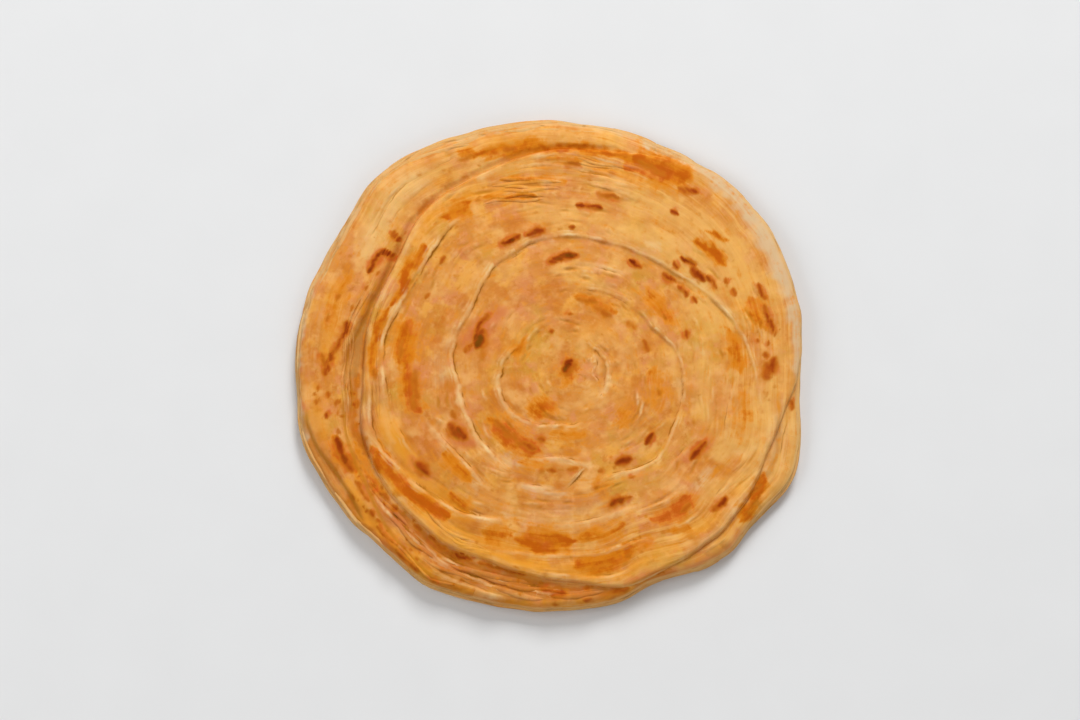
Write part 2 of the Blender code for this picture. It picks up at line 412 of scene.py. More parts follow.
# Where the upper disc of turns ends, and how wide its edge rolls over: bearing, reach, roll
upperEdge = (
    (2, 90.2, 5.0), (20, 90.4, 6.5), (38, 90.4, 6.5), (50, 89.8, 5.0), (60, 86.4, 2.6), (75, 81.3, 1.3),
    (90, 79, 1.2), (105, 76.4, 1.2), (120, 73.3, 1.2), (132, 70.8, 1.2), (145, 69.2, 1.3),
    (160, 68.8, 1.4), (175, 68.4, 1.4), (190, 69.6, 1.4), (205, 72.8, 1.5), (220, 75, 1.6),
    (235, 75.6, 1.6), (250, 75.6, 1.6), (260, 77.4, 1.6), (270, 79.2, 1.6), (278, 81.4, 1.6),
    (285, 85, 1.8), (292, 88.2, 2.4), (298, 87, 2.2), (304, 84.8, 1.8), (310, 82.7, 1.6),
    (318, 83.0, 1.6), (325, 82.2, 1.6), (330, 79.7, 1.6), (336, 78, 1.6), (342, 80.4, 1.6),
    (348, 84.0, 2.0), (355, 88.4, 3.4),
)

edgeLine = tuple((bearing, reach) for bearing, reach, roll in upperEdge)
rollLine = tuple((bearing, roll) for bearing, reach, roll in upperEdge)

lower = {
    "hiddenLevel": 4.9,
    # reach, points round
    "hiddenRings": ((8, 50), (20, 100), (36, 200), (52, 400)),
    "innerReach": 61.0,
    "topRows": 54,
    "pointsRound": 800,
    "wallHeight": 3.1,
    "wallTuck": 2.6,
    "wallRows": 16,
    "leafDepth": 0.26,
    # inner edge of the outermost turn: bearing, reach
    "outerTurn": (
        (46, 91), (60, 87), (75, 82.4), (90, 80.1), (105, 77.5), (120, 74.4), (132, 72), (148, 70.6),
        (160, 70.2), (168, 70.8), (175, 73), (181, 75), (190, 75.6), (200, 77), (206, 78.6), (215, 80),
        (222, 83), (230, 85.6), (240, 87.2), (252, 91),
    ),
    # bearing, height of the outermost turn
    "turnHeight": (
        (10, 8.2), (50, 8.3), (75, 8.9), (120, 9.0), (160, 8.8), (190, 8.3), (215, 7.7), (235, 7.0),
        (252, 6.2), (330, 6.0),
    ),
    # bearing, height of the floor between the outermost turn and the upper disc
    "floorHeight": (
        (15, 6.0), (50, 8.2), (75, 8.9), (100, 9.0), (122, 8.9), (140, 8.4), (152, 7.8), (165, 7.5),
        (190, 7.2), (205, 7.0), (235, 6.9), (262, 6.9), (300, 6.4), (340, 6.4),
    ),
    # the slim ledge outside the outermost turn
    "ledge": (
        (180, 91), (188, 88.4), (194, 87.4), (201, 86.4), (208, 85.2), (215, 85.6), (220, 87.2),
        (226, 91),
    ),
    "ledgeHeight": 6.3,
    # bearing, how far the floor climbs towards the upper disc
    "climb": ((190, 0.0), (210, 0.8), (250, 1.1), (290, 1.0), (320, 0.8), (345, 0.3), (355, 0.0)),
    # bearing, how wide the rim rolls over
    "roll": (
        (0, 4), (40, 4.5), (60, 6.5), (100, 7), (140, 7), (170, 5.5), (190, 2.6), (215, 2.4), (232, 3),
        (260, 3.2), (290, 3.4), (310, 4.5), (335, 4.5),
    ),
}

upper = {
    "underHeight": 4.7,
    # from and to part of the way out, points round, rows
    "zones": (
        (0.0, 0.075, 44, 13), (0.075, 0.15, 88, 16), (0.15, 0.3, 176, 33), (0.3, 0.6, 352, 62),
        (0.6, 1.0, 704, 76),
    ),
    "rollRows": 15,
    "rollAngle": 150.0,
    "rollEnd": -0.866,  # the cosine of that angle
    "leafDepth": 0.24,
    # part of the way out, points round
    "hiddenRings": ((0.94, 352), (0.85, 176), (0.7, 88), (0.4, 44)),
    "blister": 0.2,
}


def steepPart(bearing):
    # 0 at the right and far sides and 1 from the left round, where the steps are steep
    return easing((bearing - 138) / 18)


def laminations(bearing, height, seed):
    # thin leaves of dough showing on a side wall, from -1 in the gaps to 1 on their edges
    drift = 0.55 * roundNoise(bearing, 6, seed) + 0.25 * roundNoise(bearing, 23, seed + 1)
    phase = (height + drift) / 1.05
    saw = phase - np.floor(phase)
    return 1.0 - 2.2 * ridge(np.minimum(saw, 1 - saw), 0, 0.2)


def groundWaves(bearing, reach):
    # the soft unevenness of rolled dough
    x, y = planOf(bearing[:, None], reach)
    waves = disc["waviness"] * (doughNoise(x, y, 26.0, 11) + 0.55 * doughNoise(x, y, 12.0, 12))
    dimples = disc["dimples"] * (doughNoise(x, y, 4.6, 13) + 0.7 * doughNoise(x, y, 2.3, 14))
    drawnOut = 0.10 * streakNoise(bearing, reach, 26, 2.6, 61)
    drawnOut += 0.05 * streakNoise(bearing, reach, 48, 1.3, 62)
    return waves + dimples + drawnOut * easing((reach - 6) / 12)


def upperTop(bearing, reach):
    # height of the upper disc, and its lips with painted highlight and its creases with painted shade
    height = disc["crown"] - disc["crownFall"] * (reach / disc["rimReach"]) ** 3
    relief, traces = foldRelief(upperFolds, bearing, reach)
    return height + relief + groundWaves(bearing, reach), traces


lowerFolds = {
    "turnMiddle": ("crease", 0.5, ((108, 84.5), (122, 82), (138, 80.6), (152, 80))),
    "turnMiddleTwo": ("over", 0.4, ((118, 78.5), (132, 77), (146, 76.4))),
    "turnRim": ("crease", 0.45, ((96, 85.5), (110, 86.6), (126, 86.2), (142, 85.4), (160, 86.4))),
    "turnLeft": ("over", 0.35, ((160, 83.8), (175, 83), (188, 83.8))),
    "crushOne": ("over", 0.9, ((208, 76.4), (222, 79), (236, 80.5), (250, 82.4), (266, 85.2))),
    "crushTwo": ("over", 0.8, ((226, 78.4), (240, 78.8), (256, 80.6), (270, 83.4), (284, 87))),
    "crushThree": ("crease", 0.7, ((236, 83.2), (248, 85.2), (262, 86.8), (274, 87.6))),
    "crushFour": ("over", 0.6, ((250, 78.6), (262, 80.6), (272, 82.6), (282, 85.4))),
    "rimFold": ("crease", 0.6, ((224, 87.6), (238, 88.2), (252, 87.9), (268, 88.6))),
    "rightOne": ("crease", 0.6, ((300, 88), (310, 85.8), (320, 86), (330, 84.8), (340, 83.4), (350, 86))),
    "rightTwo": ("over", 0.5, ((318, 88.4), (328, 88), (340, 87.2), (352, 88.4))),
}


lowerStrands = scatteredStrands((
    (62, 150, 86, 83, 3.6, 14, 24), (160, 208, 83, 84, 3.6, 3, 18), (148, 205, 72, 75.5, 1.6, 12, 26),
    (208, 262, 79, 83, 4.0, 8, 20), (262, 300, 83, 87, 3.0, 6, 16), (300, 350, 86, 86, 3.0, 10, 16),
), 64)


def lowerTop(bearing, reach):
    # height of the lower turns outside the upper disc, and their lips with painted highlight and their
    # creases with painted shade
    shown = easing((reach - 62.0) / 3.0)
    floor = aroundValue(lower["floorHeight"], bearing)[:, None]
    turn = aroundValue(lower["turnHeight"], bearing)[:, None]
    edge = aroundValue(edgeLine, bearing)[:, None]
    climb = aroundValue(lower["climb"], bearing)[:, None]
    height = floor + climb * easing((edge + 9 - reach) / 10)
    foot = np.zeros_like(reach)
    for line, toEnd in passesOf(lower["outerTurn"], bearing):
        outside = reach - (line + 0.25 * roundNoise(bearing, 19, 71))[:, None]
        there = (toEnd > 0)[:, None]
        step = 0.5 + 0.5 * np.tanh((outside - 0.2) / 0.55)
        steep = steepPart(bearing)[:, None]
        lip = (0.06 + 0.29 * steep) * ridge(outside, 1.4, 1.6)
        # painted shade at the foot of the outermost turn's inner step
        shade = (0.08 + 0.55 * steep) * ridge(outside, -0.4, 0.7)
        foot = np.where(there, np.maximum(foot, shade), foot)
        height = np.where(there, height + (turn - height) * step + lip, height)
    relief, traces = foldRelief(list(lowerFolds.values()) + lowerStrands, bearing, reach)
    traces[..., 1] = np.maximum(traces[..., 1], foot)
    x, y = planOf(bearing[:, None], reach)
    crushed = easing((bearing - 212) / 14) * easing((296 - bearing) / 10)
    crumple = 0.75 * doughNoise(x, y, 5.6, 21) + 0.3 * doughNoise(x, y, 3.0, 22)
    height = height + relief + groundWaves(bearing, reach) + crushed[:, None] * crumple
    for line, toEnd in passesOf(lower["ledge"], bearing):
        outside = reach - line[:, None]
        there = (toEnd > 0)[:, None]
        drop = 0.5 + 0.5 * np.tanh((outside - 0.1) / 0.4)
        height = np.where(there, height + (lower["ledgeHeight"] - height) * drop, height)
        # painted shade in the crease under the ledge's step
        crease = np.where(there, 0.6 * ridge(outside, 0.3, 0.5), 0)
        traces[..., 1] = np.maximum(traces[..., 1], crease)
    height = lower["hiddenLevel"] + (height - lower["hiddenLevel"]) * shown
    return height, traces


# Marks and tints: bearing and reach of both ends, half width, strength.
# broad orange washes, where the dough lay close on the hot iron
orangeWashes = (
    (54, 81.5, 69, 80.8, 4.6, 1.15), (58, 79, 70, 78.4, 2.4, 0.8), (68, 80.6, 90, 79.6, 1.5, 0.95),
    (90, 79.4, 114, 82.6, 2.0, 0.95), (83, 75, 92, 76, 1.6, 0.6), (70, 73.5, 80, 72.6, 1.4, 0.55),
    (118, 66.5, 128, 65, 3.4, 0.9), (119, 63, 124, 62.4, 1.4, 0.7), (139, 63.2, 160, 63.8, 1.7, 1.15),
    (161, 64.6, 183, 66, 1.6, 1.05), (163, 56.5, 180, 54.5, 3.2, 1.0), (206, 71.6, 221, 70.2, 2.2, 1.3),
    (219, 70.4, 236, 67, 2.1, 1.3), (203, 68.4, 209, 68.4, 1.1, 0.8), (217, 52.6, 231, 52.4, 2.3, 0.95),
    (231, 60.4, 239, 60.6, 2.0, 0.8), (257, 65, 275, 64.6, 3.6, 1.1), (247, 65.5, 254, 65, 3.6, 0.8),
    (276, 74.5, 293, 75, 3.2, 0.95), (293, 74, 298, 74, 2.4, 0.6), (277, 63.5, 292, 64, 2.6, 0.75),
    (301, 66, 314, 66.2, 3.4, 0.95), (304, 73.5, 309, 73.5, 2.0, 0.65), (319, 86, 325, 84.4, 2.0, 1.1),
    (325, 84.4, 331, 80.6, 2.0, 1.1), (-3, 66.5, 12, 60.5, 2.2, 0.8), (9, 76, 19, 72.5, 2.4, 0.8),
    (30, 69, 42, 64.2, 1.5, 1.05), (35, 74.6, 41, 71, 1.2, 0.9), (23, 40, 42, 39, 2.8, 0.65),
    (223, 17, 243, 16.6, 3.0, 0.95), (148, 20, 166, 20.4, 1.8, 0.8), (212, 33, 250, 31, 3.2, 0.95),
    (52, 25.4, 86, 26.4, 2.2, 0.7), (181, 53.4, 198, 52.6, 3.0, 0.85), (96, 63, 114, 65.6, 1.2, 0.6),
    (88, 67, 107, 71, 1.2, 0.55), (338, 66, 352, 68, 3.0, 0.45), (156, 80, 172, 80, 3.0, 0.5),
    (203, 76, 218, 77.5, 1.6, 0.6), (198, 81, 210, 80.6, 2.2, 0.8), (84, 2.5, 240, 2.5, 2.6, 0.9),
    (257, 24, 284, 24.5, 3.0, 0.55), (335, 33, 358, 31, 3.0, 0.55), (210, 28, 240, 27, 2.0, 0.4),
    (246, 38, 256, 34, 2.0, 0.5), (284, 44.6, 292, 46, 2.4, 0.5), (312, 27, 325, 24, 2.4, 0.5),
)

# dark spots and streaks on the highest places
brownMarks = (
    (-3, 76, -1, 79.5, 1.6, 0.75), (2, 76, 2.4, 76, 0.9, 0.8), (5, 77, 5.4, 77, 0.7, 0.7),
    (6, 73, 6.4, 73, 0.7, 0.7), (8, 79, 15, 76.5, 0.85, 0.8), (17, 78, 21, 76.7, 0.8, 0.8),
    (22, 67, 22.6, 67, 0.9, 0.8), (26, 66, 26.6, 66, 0.8, 0.8), (26.5, 61.8, 31, 60.6, 0.8, 0.8),
    (31.5, 58.6, 35.6, 57, 1.3, 1.0), (37, 59.2, 41.5, 57, 0.8, 1.1), (41, 54, 41.6, 54, 0.9, 0.8),
    (38, 50, 42, 48.4, 0.9, 0.9), (26, 52, 27, 52, 0.8, 0.7), (30, 50.6, 35, 49.8, 0.9, 0.7),
    (14.5, 44.5, 15.2, 45, 0.9, 0.9), (53.4, 45.2, 58, 45, 0.95, 1.15), (27, 39.5, 27.8, 39.5, 0.8, 0.6),
    (14, 29, 19, 28.6, 1.3, 0.6), (32, 27.2, 39, 26.8, 1.1, 0.5), (56, 24.4, 67, 24.8, 1.7, 0.55),
    (70, 26.6, 82, 26.2, 1.3, 0.5), (52, 69, 52.6, 69, 0.9, 0.8), (50, 80, 54, 77.5, 1.3, 0.8),
    (83, 74, 87, 74, 1.0, 0.7), (73, 73, 73.8, 73, 0.7, 0.5), (70, 65, 77, 65, 1.0, 0.6),
    (75, 59.7, 84, 59.4, 0.75, 0.9), (85, 51, 86, 51, 0.8, 0.7), (98.5, 50.2, 104, 50.2, 1.3, 1.2),
    (108.5, 50.2, 116, 49.6, 1.0, 1.15), (84.6, 41.8, 91, 41.2, 1.2, 1.15), (91, 41, 98.5, 39, 1.0, 1.1),
    (90, 20.5, 92, 20.5, 0.7, 0.6), (117, 16, 119, 16, 0.6, 0.6), (105, 3.4, 170, 3.0, 1.7, 0.6),
    (112, 4.6, 150, 3.6, 1.2, 1.0), (115, 66.5, 116, 66.5, 0.8, 0.5), (115, 75.5, 116, 75.5, 0.8, 0.5),
    (146.4, 70.6, 146.8, 75, 0.75, 1.1), (146.8, 75, 153.5, 75.2, 0.85, 0.95),
    (141, 75, 141.6, 71.4, 0.8, 0.8), (153, 72, 153.4, 72, 0.6, 0.6), (158, 73.5, 158.4, 73.5, 0.6, 0.6),
    (163, 80, 163.6, 80, 1.0, 0.6), (168.5, 81.5, 169.4, 81.5, 0.9, 0.5),
    (164.5, 75, 165.2, 75, 0.9, 0.5), (169, 75, 172, 75, 1.3, 0.95), (172, 75, 178, 78.5, 0.85, 0.75),
    (178, 78.5, 183, 81, 1.1, 0.8), (178, 82, 183, 80.4, 0.9, 0.7), (137.5, 56, 138.4, 56, 1.0, 0.65),
    (152, 54.5, 152.6, 54.5, 0.8, 0.5), (146, 34.4, 154, 35.2, 1.0, 0.9), (157, 33, 164, 32, 1.9, 1.15),
    (155, 34.8, 162, 34.4, 0.9, 0.9), (163, 31.4, 172, 31, 1.8, 0.45), (166, 35, 170, 36.4, 0.7, 0.8),
    (183, 52, 196, 52.6, 1.8, 0.45), (186, 83.5, 186.8, 83.5, 0.8, 0.6),
    (188, 80.5, 188.7, 80.5, 0.9, 0.75), (193, 81, 193.7, 81, 0.9, 0.85),
    (193, 77.5, 193.5, 77.5, 0.6, 0.6), (200, 80.6, 208, 80.3, 1.6, 0.85),
    (212, 81.5, 216, 81.6, 0.8, 0.6), (220, 84, 220.8, 84, 0.9, 0.8), (224, 85.5, 224.8, 85.5, 0.9, 0.8),
    (225, 86.6, 229, 86.5, 0.7, 0.6), (231, 88, 238, 88.3, 0.7, 0.65),
    (242, 88.6, 242.8, 88.6, 0.9, 0.8), (191, 71, 192, 71.4, 1.0, 0.55),
    (197, 72.4, 198, 72.6, 0.8, 0.5), (218, 76.2, 219.4, 76.4, 1.0, 0.65),
    (222, 76.7, 223, 76.8, 0.8, 0.6), (230, 77.2, 231.4, 77.3, 0.9, 0.7),
    (235, 76.6, 240, 76.8, 0.8, 0.6), (242.5, 76.8, 247.5, 76.7, 0.8, 0.8),
    (250, 77, 262, 77.6, 0.6, 0.6), (242, 84, 243, 84, 0.9, 0.5), (250, 84, 251, 84, 0.9, 0.4),
    (268, 82.2, 272, 84.2, 1.7, 0.85), (278, 83, 279, 83.2, 0.9, 0.8), (278, 87.5, 279, 87.5, 0.8, 0.6),
    (284, 86.4, 288, 87.6, 0.9, 0.6), (216, 61.6, 218.4, 61.6, 1.9, 0.95),
    (209.6, 45, 215, 43.6, 2.0, 0.95), (210, 46.8, 213, 46.8, 1.0, 0.5),
    (202.5, 42, 203.4, 42, 0.9, 0.55), (195, 40, 196, 40, 0.7, 0.35), (217, 31.4, 223, 31.4, 1.1, 0.5),
    (240, 31, 247, 30.6, 1.3, 0.7), (246, 27.2, 250, 27, 1.1, 0.8), (204, 16, 207, 16, 0.8, 0.4),
    (242, 18.4, 247, 18, 1.1, 0.4), (289.4, 54.4, 294, 54.4, 1.2, 1.05),
    (294, 54.8, 297.6, 55, 0.7, 0.7), (256, 38.2, 258, 38.2, 0.9, 0.55),
    (261, 37.8, 264, 37.8, 0.9, 0.6), (267, 37.4, 268, 37.4, 0.6, 0.35), (272, 37, 276, 37, 0.9, 0.55),
    (284.5, 45.5, 285.4, 45.5, 0.8, 0.45), (288.5, 40, 289.6, 40, 0.8, 0.55),
    (296, 37, 296.8, 37, 0.6, 0.4), (299.6, 39.4, 304, 39.2, 1.5, 1.15), (301, 47, 302, 47, 0.8, 0.65),
    (318, 38.4, 321.4, 38.2, 1.1, 1.0), (325.4, 55.4, 331.6, 54.8, 1.4, 1.1),
    (317, 74.3, 321, 76.4, 1.0, 0.85), (349, 87, 351, 87, 0.9, 0.7), (357, 76, 360, 79, 1.8, 0.85),
    (345, 33, 346, 33, 0.8, 0.5), (310, 67, 312, 67, 1.3, 0.55), (225, 31.5, 238, 31.5, 1.5, 0.4),
    (327, 81.8, 329, 82.4, 1.0, 0.5), (60, 79.6, 66, 80.2, 1.4, 0.4), (172, 56.5, 177, 56.5, 1.2, 0.5),
    (182, 65, 184, 65.3, 0.8, 0.5), (101, 80.6, 103, 80.9, 1.0, 0.45), (111, 81.4, 114, 81.8, 1.2, 0.5),
)

# pale lips and bare patches
palePatches = (
    (20, 87.4, 66, 87.6, 3.0, 0.6), (66, 89, 112, 89, 1.7, 0.6), (126, 81, 150, 80, 6.0, 0.55),
    (50, 55, 55, 54.5, 1.8, 0.65), (318, 64, 325, 64, 1.8, 0.65), (333, 66, 337, 74, 2.0, 0.55),
    (341, 77.5, 346, 80, 2.2, 0.6), (345, 41.8, 354, 41.6, 1.2, 0.6), (250, 58, 300, 58, 2.0, 0.5),
    (254, 55, 270, 55, 1.2, 0.4), (250, 46.4, 270, 46.2, 1.5, 0.6), (203, 50.8, 232, 50.6, 1.1, 0.45),
    (190, 38.6, 200, 38.2, 1.4, 0.9), (206, 38.8, 236, 41.4, 1.0, 0.6), (252, 35.2, 262, 33.4, 1.0, 0.7),
    (262, 33.4, 284, 36, 1.0, 0.7), (190, 25.8, 222, 26, 0.9, 0.6), (250, 22, 268, 21, 0.9, 0.5),
    (318, 13.4, 350, 11.8, 0.9, 0.7), (0, 9.2, 40, 9.6, 0.8, 0.6), (185, 62, 205, 64, 1.6, 0.5),
    (188, 69.6, 205, 71.6, 1.2, 0.6), (206, 69, 226, 66.8, 0.8, 0.55), (226, 66.6, 250, 60, 1.0, 0.5),
    (205, 73.2, 236, 75.4, 1.0, 0.6), (236, 75.2, 262, 77, 1.2, 0.5), (262, 76, 288, 84, 1.3, 0.45),
    (308, 82, 330, 79.4, 0.9, 0.6), (330, 78.6, 350, 83, 0.9, 0.6), (156, 62, 172, 63, 0.7, 0.5),
    (96, 67.4, 110, 71, 0.9, 0.45), (58, 39.6, 85, 38.2, 1.0, 0.6), (5, 50, 12, 46, 1.3, 0.55),
    (292, 45.2, 312, 45, 1.0, 0.6), (297, 61.8, 316, 60.4, 1.0, 0.4), (124, 76, 134, 74, 2.0, 0.4),
    (40, 52.4, 65, 50.4, 0.8, 0.5), (8, 67, 38, 54, 0.8, 0.6),
)

# dry, floury places, most of them round the rim
dryTints = (
    (-2, 89.4, 20, 88.6, 2.0, 1.0), (20, 88.4, 40, 88, 2.8, 1.15), (40, 88, 66, 89.2, 2.2, 1.1),
    (66, 89.2, 112, 89.4, 1.0, 0.5), (140, 90, 198, 90, 1.0, 0.9), (216, 90, 226, 90, 1.0, 0.7),
    (251, 46.2, 270, 46.2, 1.5, 0.45), (168, 42, 186, 44, 3.4, 0.35), (266, 52, 284, 50, 2.4, 0.35),
    (318, 63.6, 325, 63.8, 1.7, 0.35), (50, 54.6, 56, 54.4, 1.7, 0.35), (230, 50, 236, 53, 2.0, 0.35),
    (95, 47.6, 106, 47, 1.4, 0.4), (236, 38, 244, 38.4, 3.0, 0.4),
)

# deep brown of the lower tiers and hollows
umberTints = (
    (205, 77, 232, 80, 3.4, 1.0), (232, 79, 262, 81, 4.6, 1.2), (206, 62, 242, 64, 5.6, 0.75),
    (190, 84, 214, 87, 3.4, 0.6), (246, 13, 310, 12, 5.0, 0.4), (186, 66, 206, 68, 4.0, 0.4),
    (262, 84, 276, 88, 3.0, 0.4), (244, 68, 262, 66, 4.0, 0.3), (262, 82.6, 286, 87, 3.6, 1.0),
    (286, 89, 300, 89, 1.6, 0.7), (196, 88.6, 228, 89, 2.4, 0.6), (208, 84, 224, 86.4, 1.6, 0.4),
    (184, 71.8, 206, 73.4, 2.6, 1.2), (240, 88, 262, 89, 2.4, 0.9), (214, 86, 240, 87, 2.8, 1.0),
    (214, 78, 262, 82, 3.6, 0.8), (236, 54, 262, 54, 2.0, 0.3), (276, 61, 292, 66, 2.0, 0.35),
)

# light warm yellow, partly the dough's own tone and partly painted light, most of it on the right and far
# sides
litYellowTints = (
    (-4, 80, 20, 82, 5.0, 0.6), (14, 60, 26, 52, 8.0, 0.9), (20, 72, 46, 72, 8.0, 0.9),
    (28, 58, 60, 56, 7.0, 0.9), (46, 70, 66, 66, 7.0, 0.9), (60, 56, 100, 56, 7.0, 0.7),
    (46, 84, 120, 84, 4.0, 0.5), (84, 71, 118, 76, 3.0, 0.6), (122, 81, 150, 79, 6.0, 0.8),
    (300, 88.4, 352, 88.4, 3.2, 1.0), (328, 83, 350, 84, 3.0, 0.8), (60, 42, 100, 44, 4.0, 0.5),
    (62, 34, 90, 33, 3.0, 0.6), (110, 40, 140, 42, 4.0, 0.4), (330, 62, 350, 72, 6.0, 0.9),
    (326, 74, 356, 78, 5.0, 0.8), (314, 66, 326, 74, 4.0, 0.7), (340, 84, 356, 86, 4.0, 0.6),
    (340, 52, 366, 50, 5.0, 0.7), (292, 84, 300, 82, 3.0, 0.6), (262, 57, 290, 52, 3.0, 0.4),
    (300, 50, 314, 52, 3.0, 0.4), (350, 42, 372, 38, 3.0, 0.6), (300, 32, 330, 31, 3.0, 0.4),
    (40, 19, 70, 14, 4.0, 0.5), (10, 22, 26, 24, 3.0, 0.5), (120, 12, 150, 14, 3.0, 0.3),
)

# rosy places about the browned ones
roseTints = (
    (212, 78, 230, 80, 3.0, 0.6), (230, 80, 248, 80.5, 2.6, 0.5), (262, 83, 284, 86, 2.8, 0.25),
    (224, 83.5, 232, 85, 2.0, 0.5), (205, 70, 216, 80, 2.0, 0.35), (288, 86, 304, 88, 2.2, 0.6),
    # the rosy mark from bearing 148 to 157 near reach 32 is a painted highlight beside the big browned spot
    (304, 88, 318, 89, 2.0, 0.7), (345, 60, 352, 50, 4.0, 0.3), (148, 32, 157, 31.6, 1.4, 0.9),
    (140, 31, 166, 36, 5.0, 0.95), (160, 28, 176, 30, 4.0, 0.6), (206, 43, 219, 44, 4.0, 0.9),
    (182, 52, 197, 53, 3.8, 0.8), (213, 61.6, 221, 61.6, 3.4, 0.8), (222, 31, 246, 29, 3.6, 0.6),
    (302, 66, 315, 66, 3.8, 0.9), (150, 89.4, 198, 89.6, 1.2, 0.7), (224, 89, 232, 89, 2.0, 0.6),
    (260, 50, 285, 50, 2.4, 0.4), (322, 54, 334, 57, 2.8, 0.7), (246, 44, 262, 40, 2.6, 0.3),
    (60, 78, 70, 77, 2.0, 0.5), (115, 57, 130, 52, 6.0, 0.3), (240, 26, 252, 29, 2.6, 0.5),
    (-6, 76, 8, 70, 3.5, 0.4), (100, 2, 170, 8, 4.5, 0.4), (298, 38, 306, 41, 2.6, 0.5),
    (13, 45, 17, 45, 1.9, 0.6), (300, 88, 330, 90, 1.6, 0.45), (95, 45, 130, 30, 6.0, 0.25),
)

# painted shade in the hollows
hollowShadeTints = (
    (164, 70.2, 172, 69.2, 0.9, 0.6), (168, 70.4, 183, 71.6, 2.2, 0.9), (330, 82, 346, 80.6, 1.4, 0.6),
    (352, 10.5, 372, 10.5, 1.0, 0.6), (300, 44.4, 305, 41.6, 0.8, 0.3), (25, 46, 34, 45, 1.4, 0.3),
    (258, 38, 274, 37.4, 1.4, 0.35), (40, 50.4, 62, 47.4, 0.8, 0.5), (205, 75.4, 222, 78, 1.4, 0.5),
)

# fatty golden places
goldTints = (
    (214, 73.5, 240, 73.6, 2.6, 0.9), (240, 73.4, 268, 74.5, 3.0, 0.9), (268, 75, 290, 82, 3.2, 0.7),
    (290, 82, 304, 78, 3.4, 0.6), (195, 64, 215, 62, 4.0, 0.9), (215, 66, 240, 63, 4.0, 0.7),
    (232, 70, 262, 68, 2.6, 0.7), (120, 70, 140, 66, 3.2, 0.6), (90, 81, 110, 84, 3.6, 0.5),
    (160, 82, 180, 79, 5.0, 0.6), (185, 84, 200, 84, 3.0, 0.5), (210, 84, 240, 87.4, 2.4, 0.7),
    (95, 66, 118, 69, 3.0, 0.7), (60, 74, 80, 74, 2.6, 0.5), (270, 20, 300, 14, 4.0, 0.4),
    (40, 20, 80, 14, 5.0, 0.4), (320, 22, 350, 20, 3.0, 0.4), (306, 76, 326, 77, 3.0, 0.5),
    (12, 70, 34, 76, 4.0, 0.3), (150, 26, 190, 16, 5.0, 0.3), (198, 76, 210, 80, 2.0, 0.5),
    (248, 88, 290, 88.6, 1.6, 0.5), (312, 84, 330, 86, 2.0, 0.4), (180, 46, 200, 45, 2.6, 0.25),
    (130, 44, 150, 37, 4.0, 0.3),
)


def paintMarks(marks, x, y, soft=1.0, more=0.0, blunt=0.62):
    # how strongly each point is marked: 1 in the middle of a mark, fading past its half width
    layer = np.zeros(len(x))
    for fromBearing, fromReach, toBearing, toReach, halfWidth, strength in marks:
        count = max(2, int(abs(toBearing - fromBearing) / 4) + 2)
        px, py = planOf(np.linspace(fromBearing, toBearing, count), np.linspace(fromReach, toReach, count))
        wide = halfWidth * soft + more
        far = 2.2 * wide + 1
        around = (x > px.min() - far) & (x < px.max() + far) & (y > py.min() - far) & (y < py.max() + far)
        ax, ay = x[around], y[around]
        near = np.full(len(ax), 1e9)
        for k in range(count - 1):
            dx, dy = px[k + 1] - px[k], py[k + 1] - py[k]
            t = np.clip(((ax - px[k]) * dx + (ay - py[k]) * dy) / (dx * dx + dy * dy + 1e-9), 0, 1)
            # a mark narrows towards its two ends
            part = (k + t) / (count - 1)
            narrow = blunt + (1 - blunt) * np.sqrt(np.clip(4 * part * (1 - part), 0, 1))
            away = np.hypot(ax - px[k] - t * dx, ay - py[k] - t * dy) / narrow
            near = np.minimum(near, away)
        layer[around] = np.maximum(layer[around], strength * np.exp(-((near / (1.05 * wide)) ** 2)))
    return layer


def blotchesOf(marks, seed):
    # each mark broken into a few lumps of uneven size along it
    draw = np.random.default_rng(seed)
    lumps = []
    for fromBearing, fromReach, toBearing, toReach, halfWidth, strength in marks:
        arc = math.radians(abs(toBearing - fromBearing)) * 0.5 * (fromReach + toReach)
        count = 1 + int(math.hypot(arc, toReach - fromReach) / (1.9 * halfWidth))
        for k in range(count):
            t = (k + 0.5 + draw.uniform(-0.2, 0.2)) / count
            bearing = fromBearing + t * (toBearing - fromBearing)
            reach = fromReach + t * (toReach - fromReach) + draw.uniform(-0.35, 0.35) * halfWidth
            long = math.degrees(draw.uniform(0.8, 1.4) * halfWidth / max(reach, 4))
            size = halfWidth * draw.uniform(0.75, 1.15)
            lean = draw.uniform(-0.15, 0.15) * halfWidth
            strong = strength * draw.uniform(0.75, 1.2)
            lumps.append((bearing - long, reach - lean, bearing + long, reach + lean, size, strong))
    return lumps


def scatteredMarks(zones, seed):
    # small freckles thrown over zones: bearings, reaches, count, half width and strength at most
    draw = np.random.default_rng(seed)
    found = []
    for fromBearing, toBearing, fromReach, toReach, count, widest, strongest in zones:
        for k in range(count):
            bearing, reach = draw.uniform(fromBearing, toBearing), draw.uniform(fromReach, toReach)
            long = math.degrees(draw.uniform(0, 1.6) * widest / max(reach, 6))
            lean = draw.uniform(-0.3, 0.3)
            size = widest * draw.uniform(0.6, 1.1)
            strong = strongest * draw.uniform(0.4, 1.0)
            found.append((bearing, reach, bearing + long, reach + lean, size, strong))
    return found


freckles = scatteredMarks((
    (0, 360, 6, 40, 26, 0.8, 0.45), (0, 360, 40, 66, 50, 0.85, 0.5), (0, 100, 60, 82, 24, 0.8, 0.55),
    (100, 200, 62, 84, 26, 0.8, 0.5), (184, 208, 71.2, 74.6, 12, 0.8, 1.0),
    (184, 212, 76, 86, 16, 0.9, 0.8), (205, 262, 75, 86, 46, 0.9, 0.95),
    (262, 300, 80, 89, 16, 0.9, 0.8), (214, 250, 84, 88.6, 14, 0.8, 0.9),
    (205, 330, 56, 74, 26, 0.9, 0.5), (345, 375, 72, 82, 16, 0.9, 0.8), (288, 298, 70, 79, 10, 0.8, 0.6),
    (112, 130, 60, 72, 10, 0.9, 0.5),
), 38)


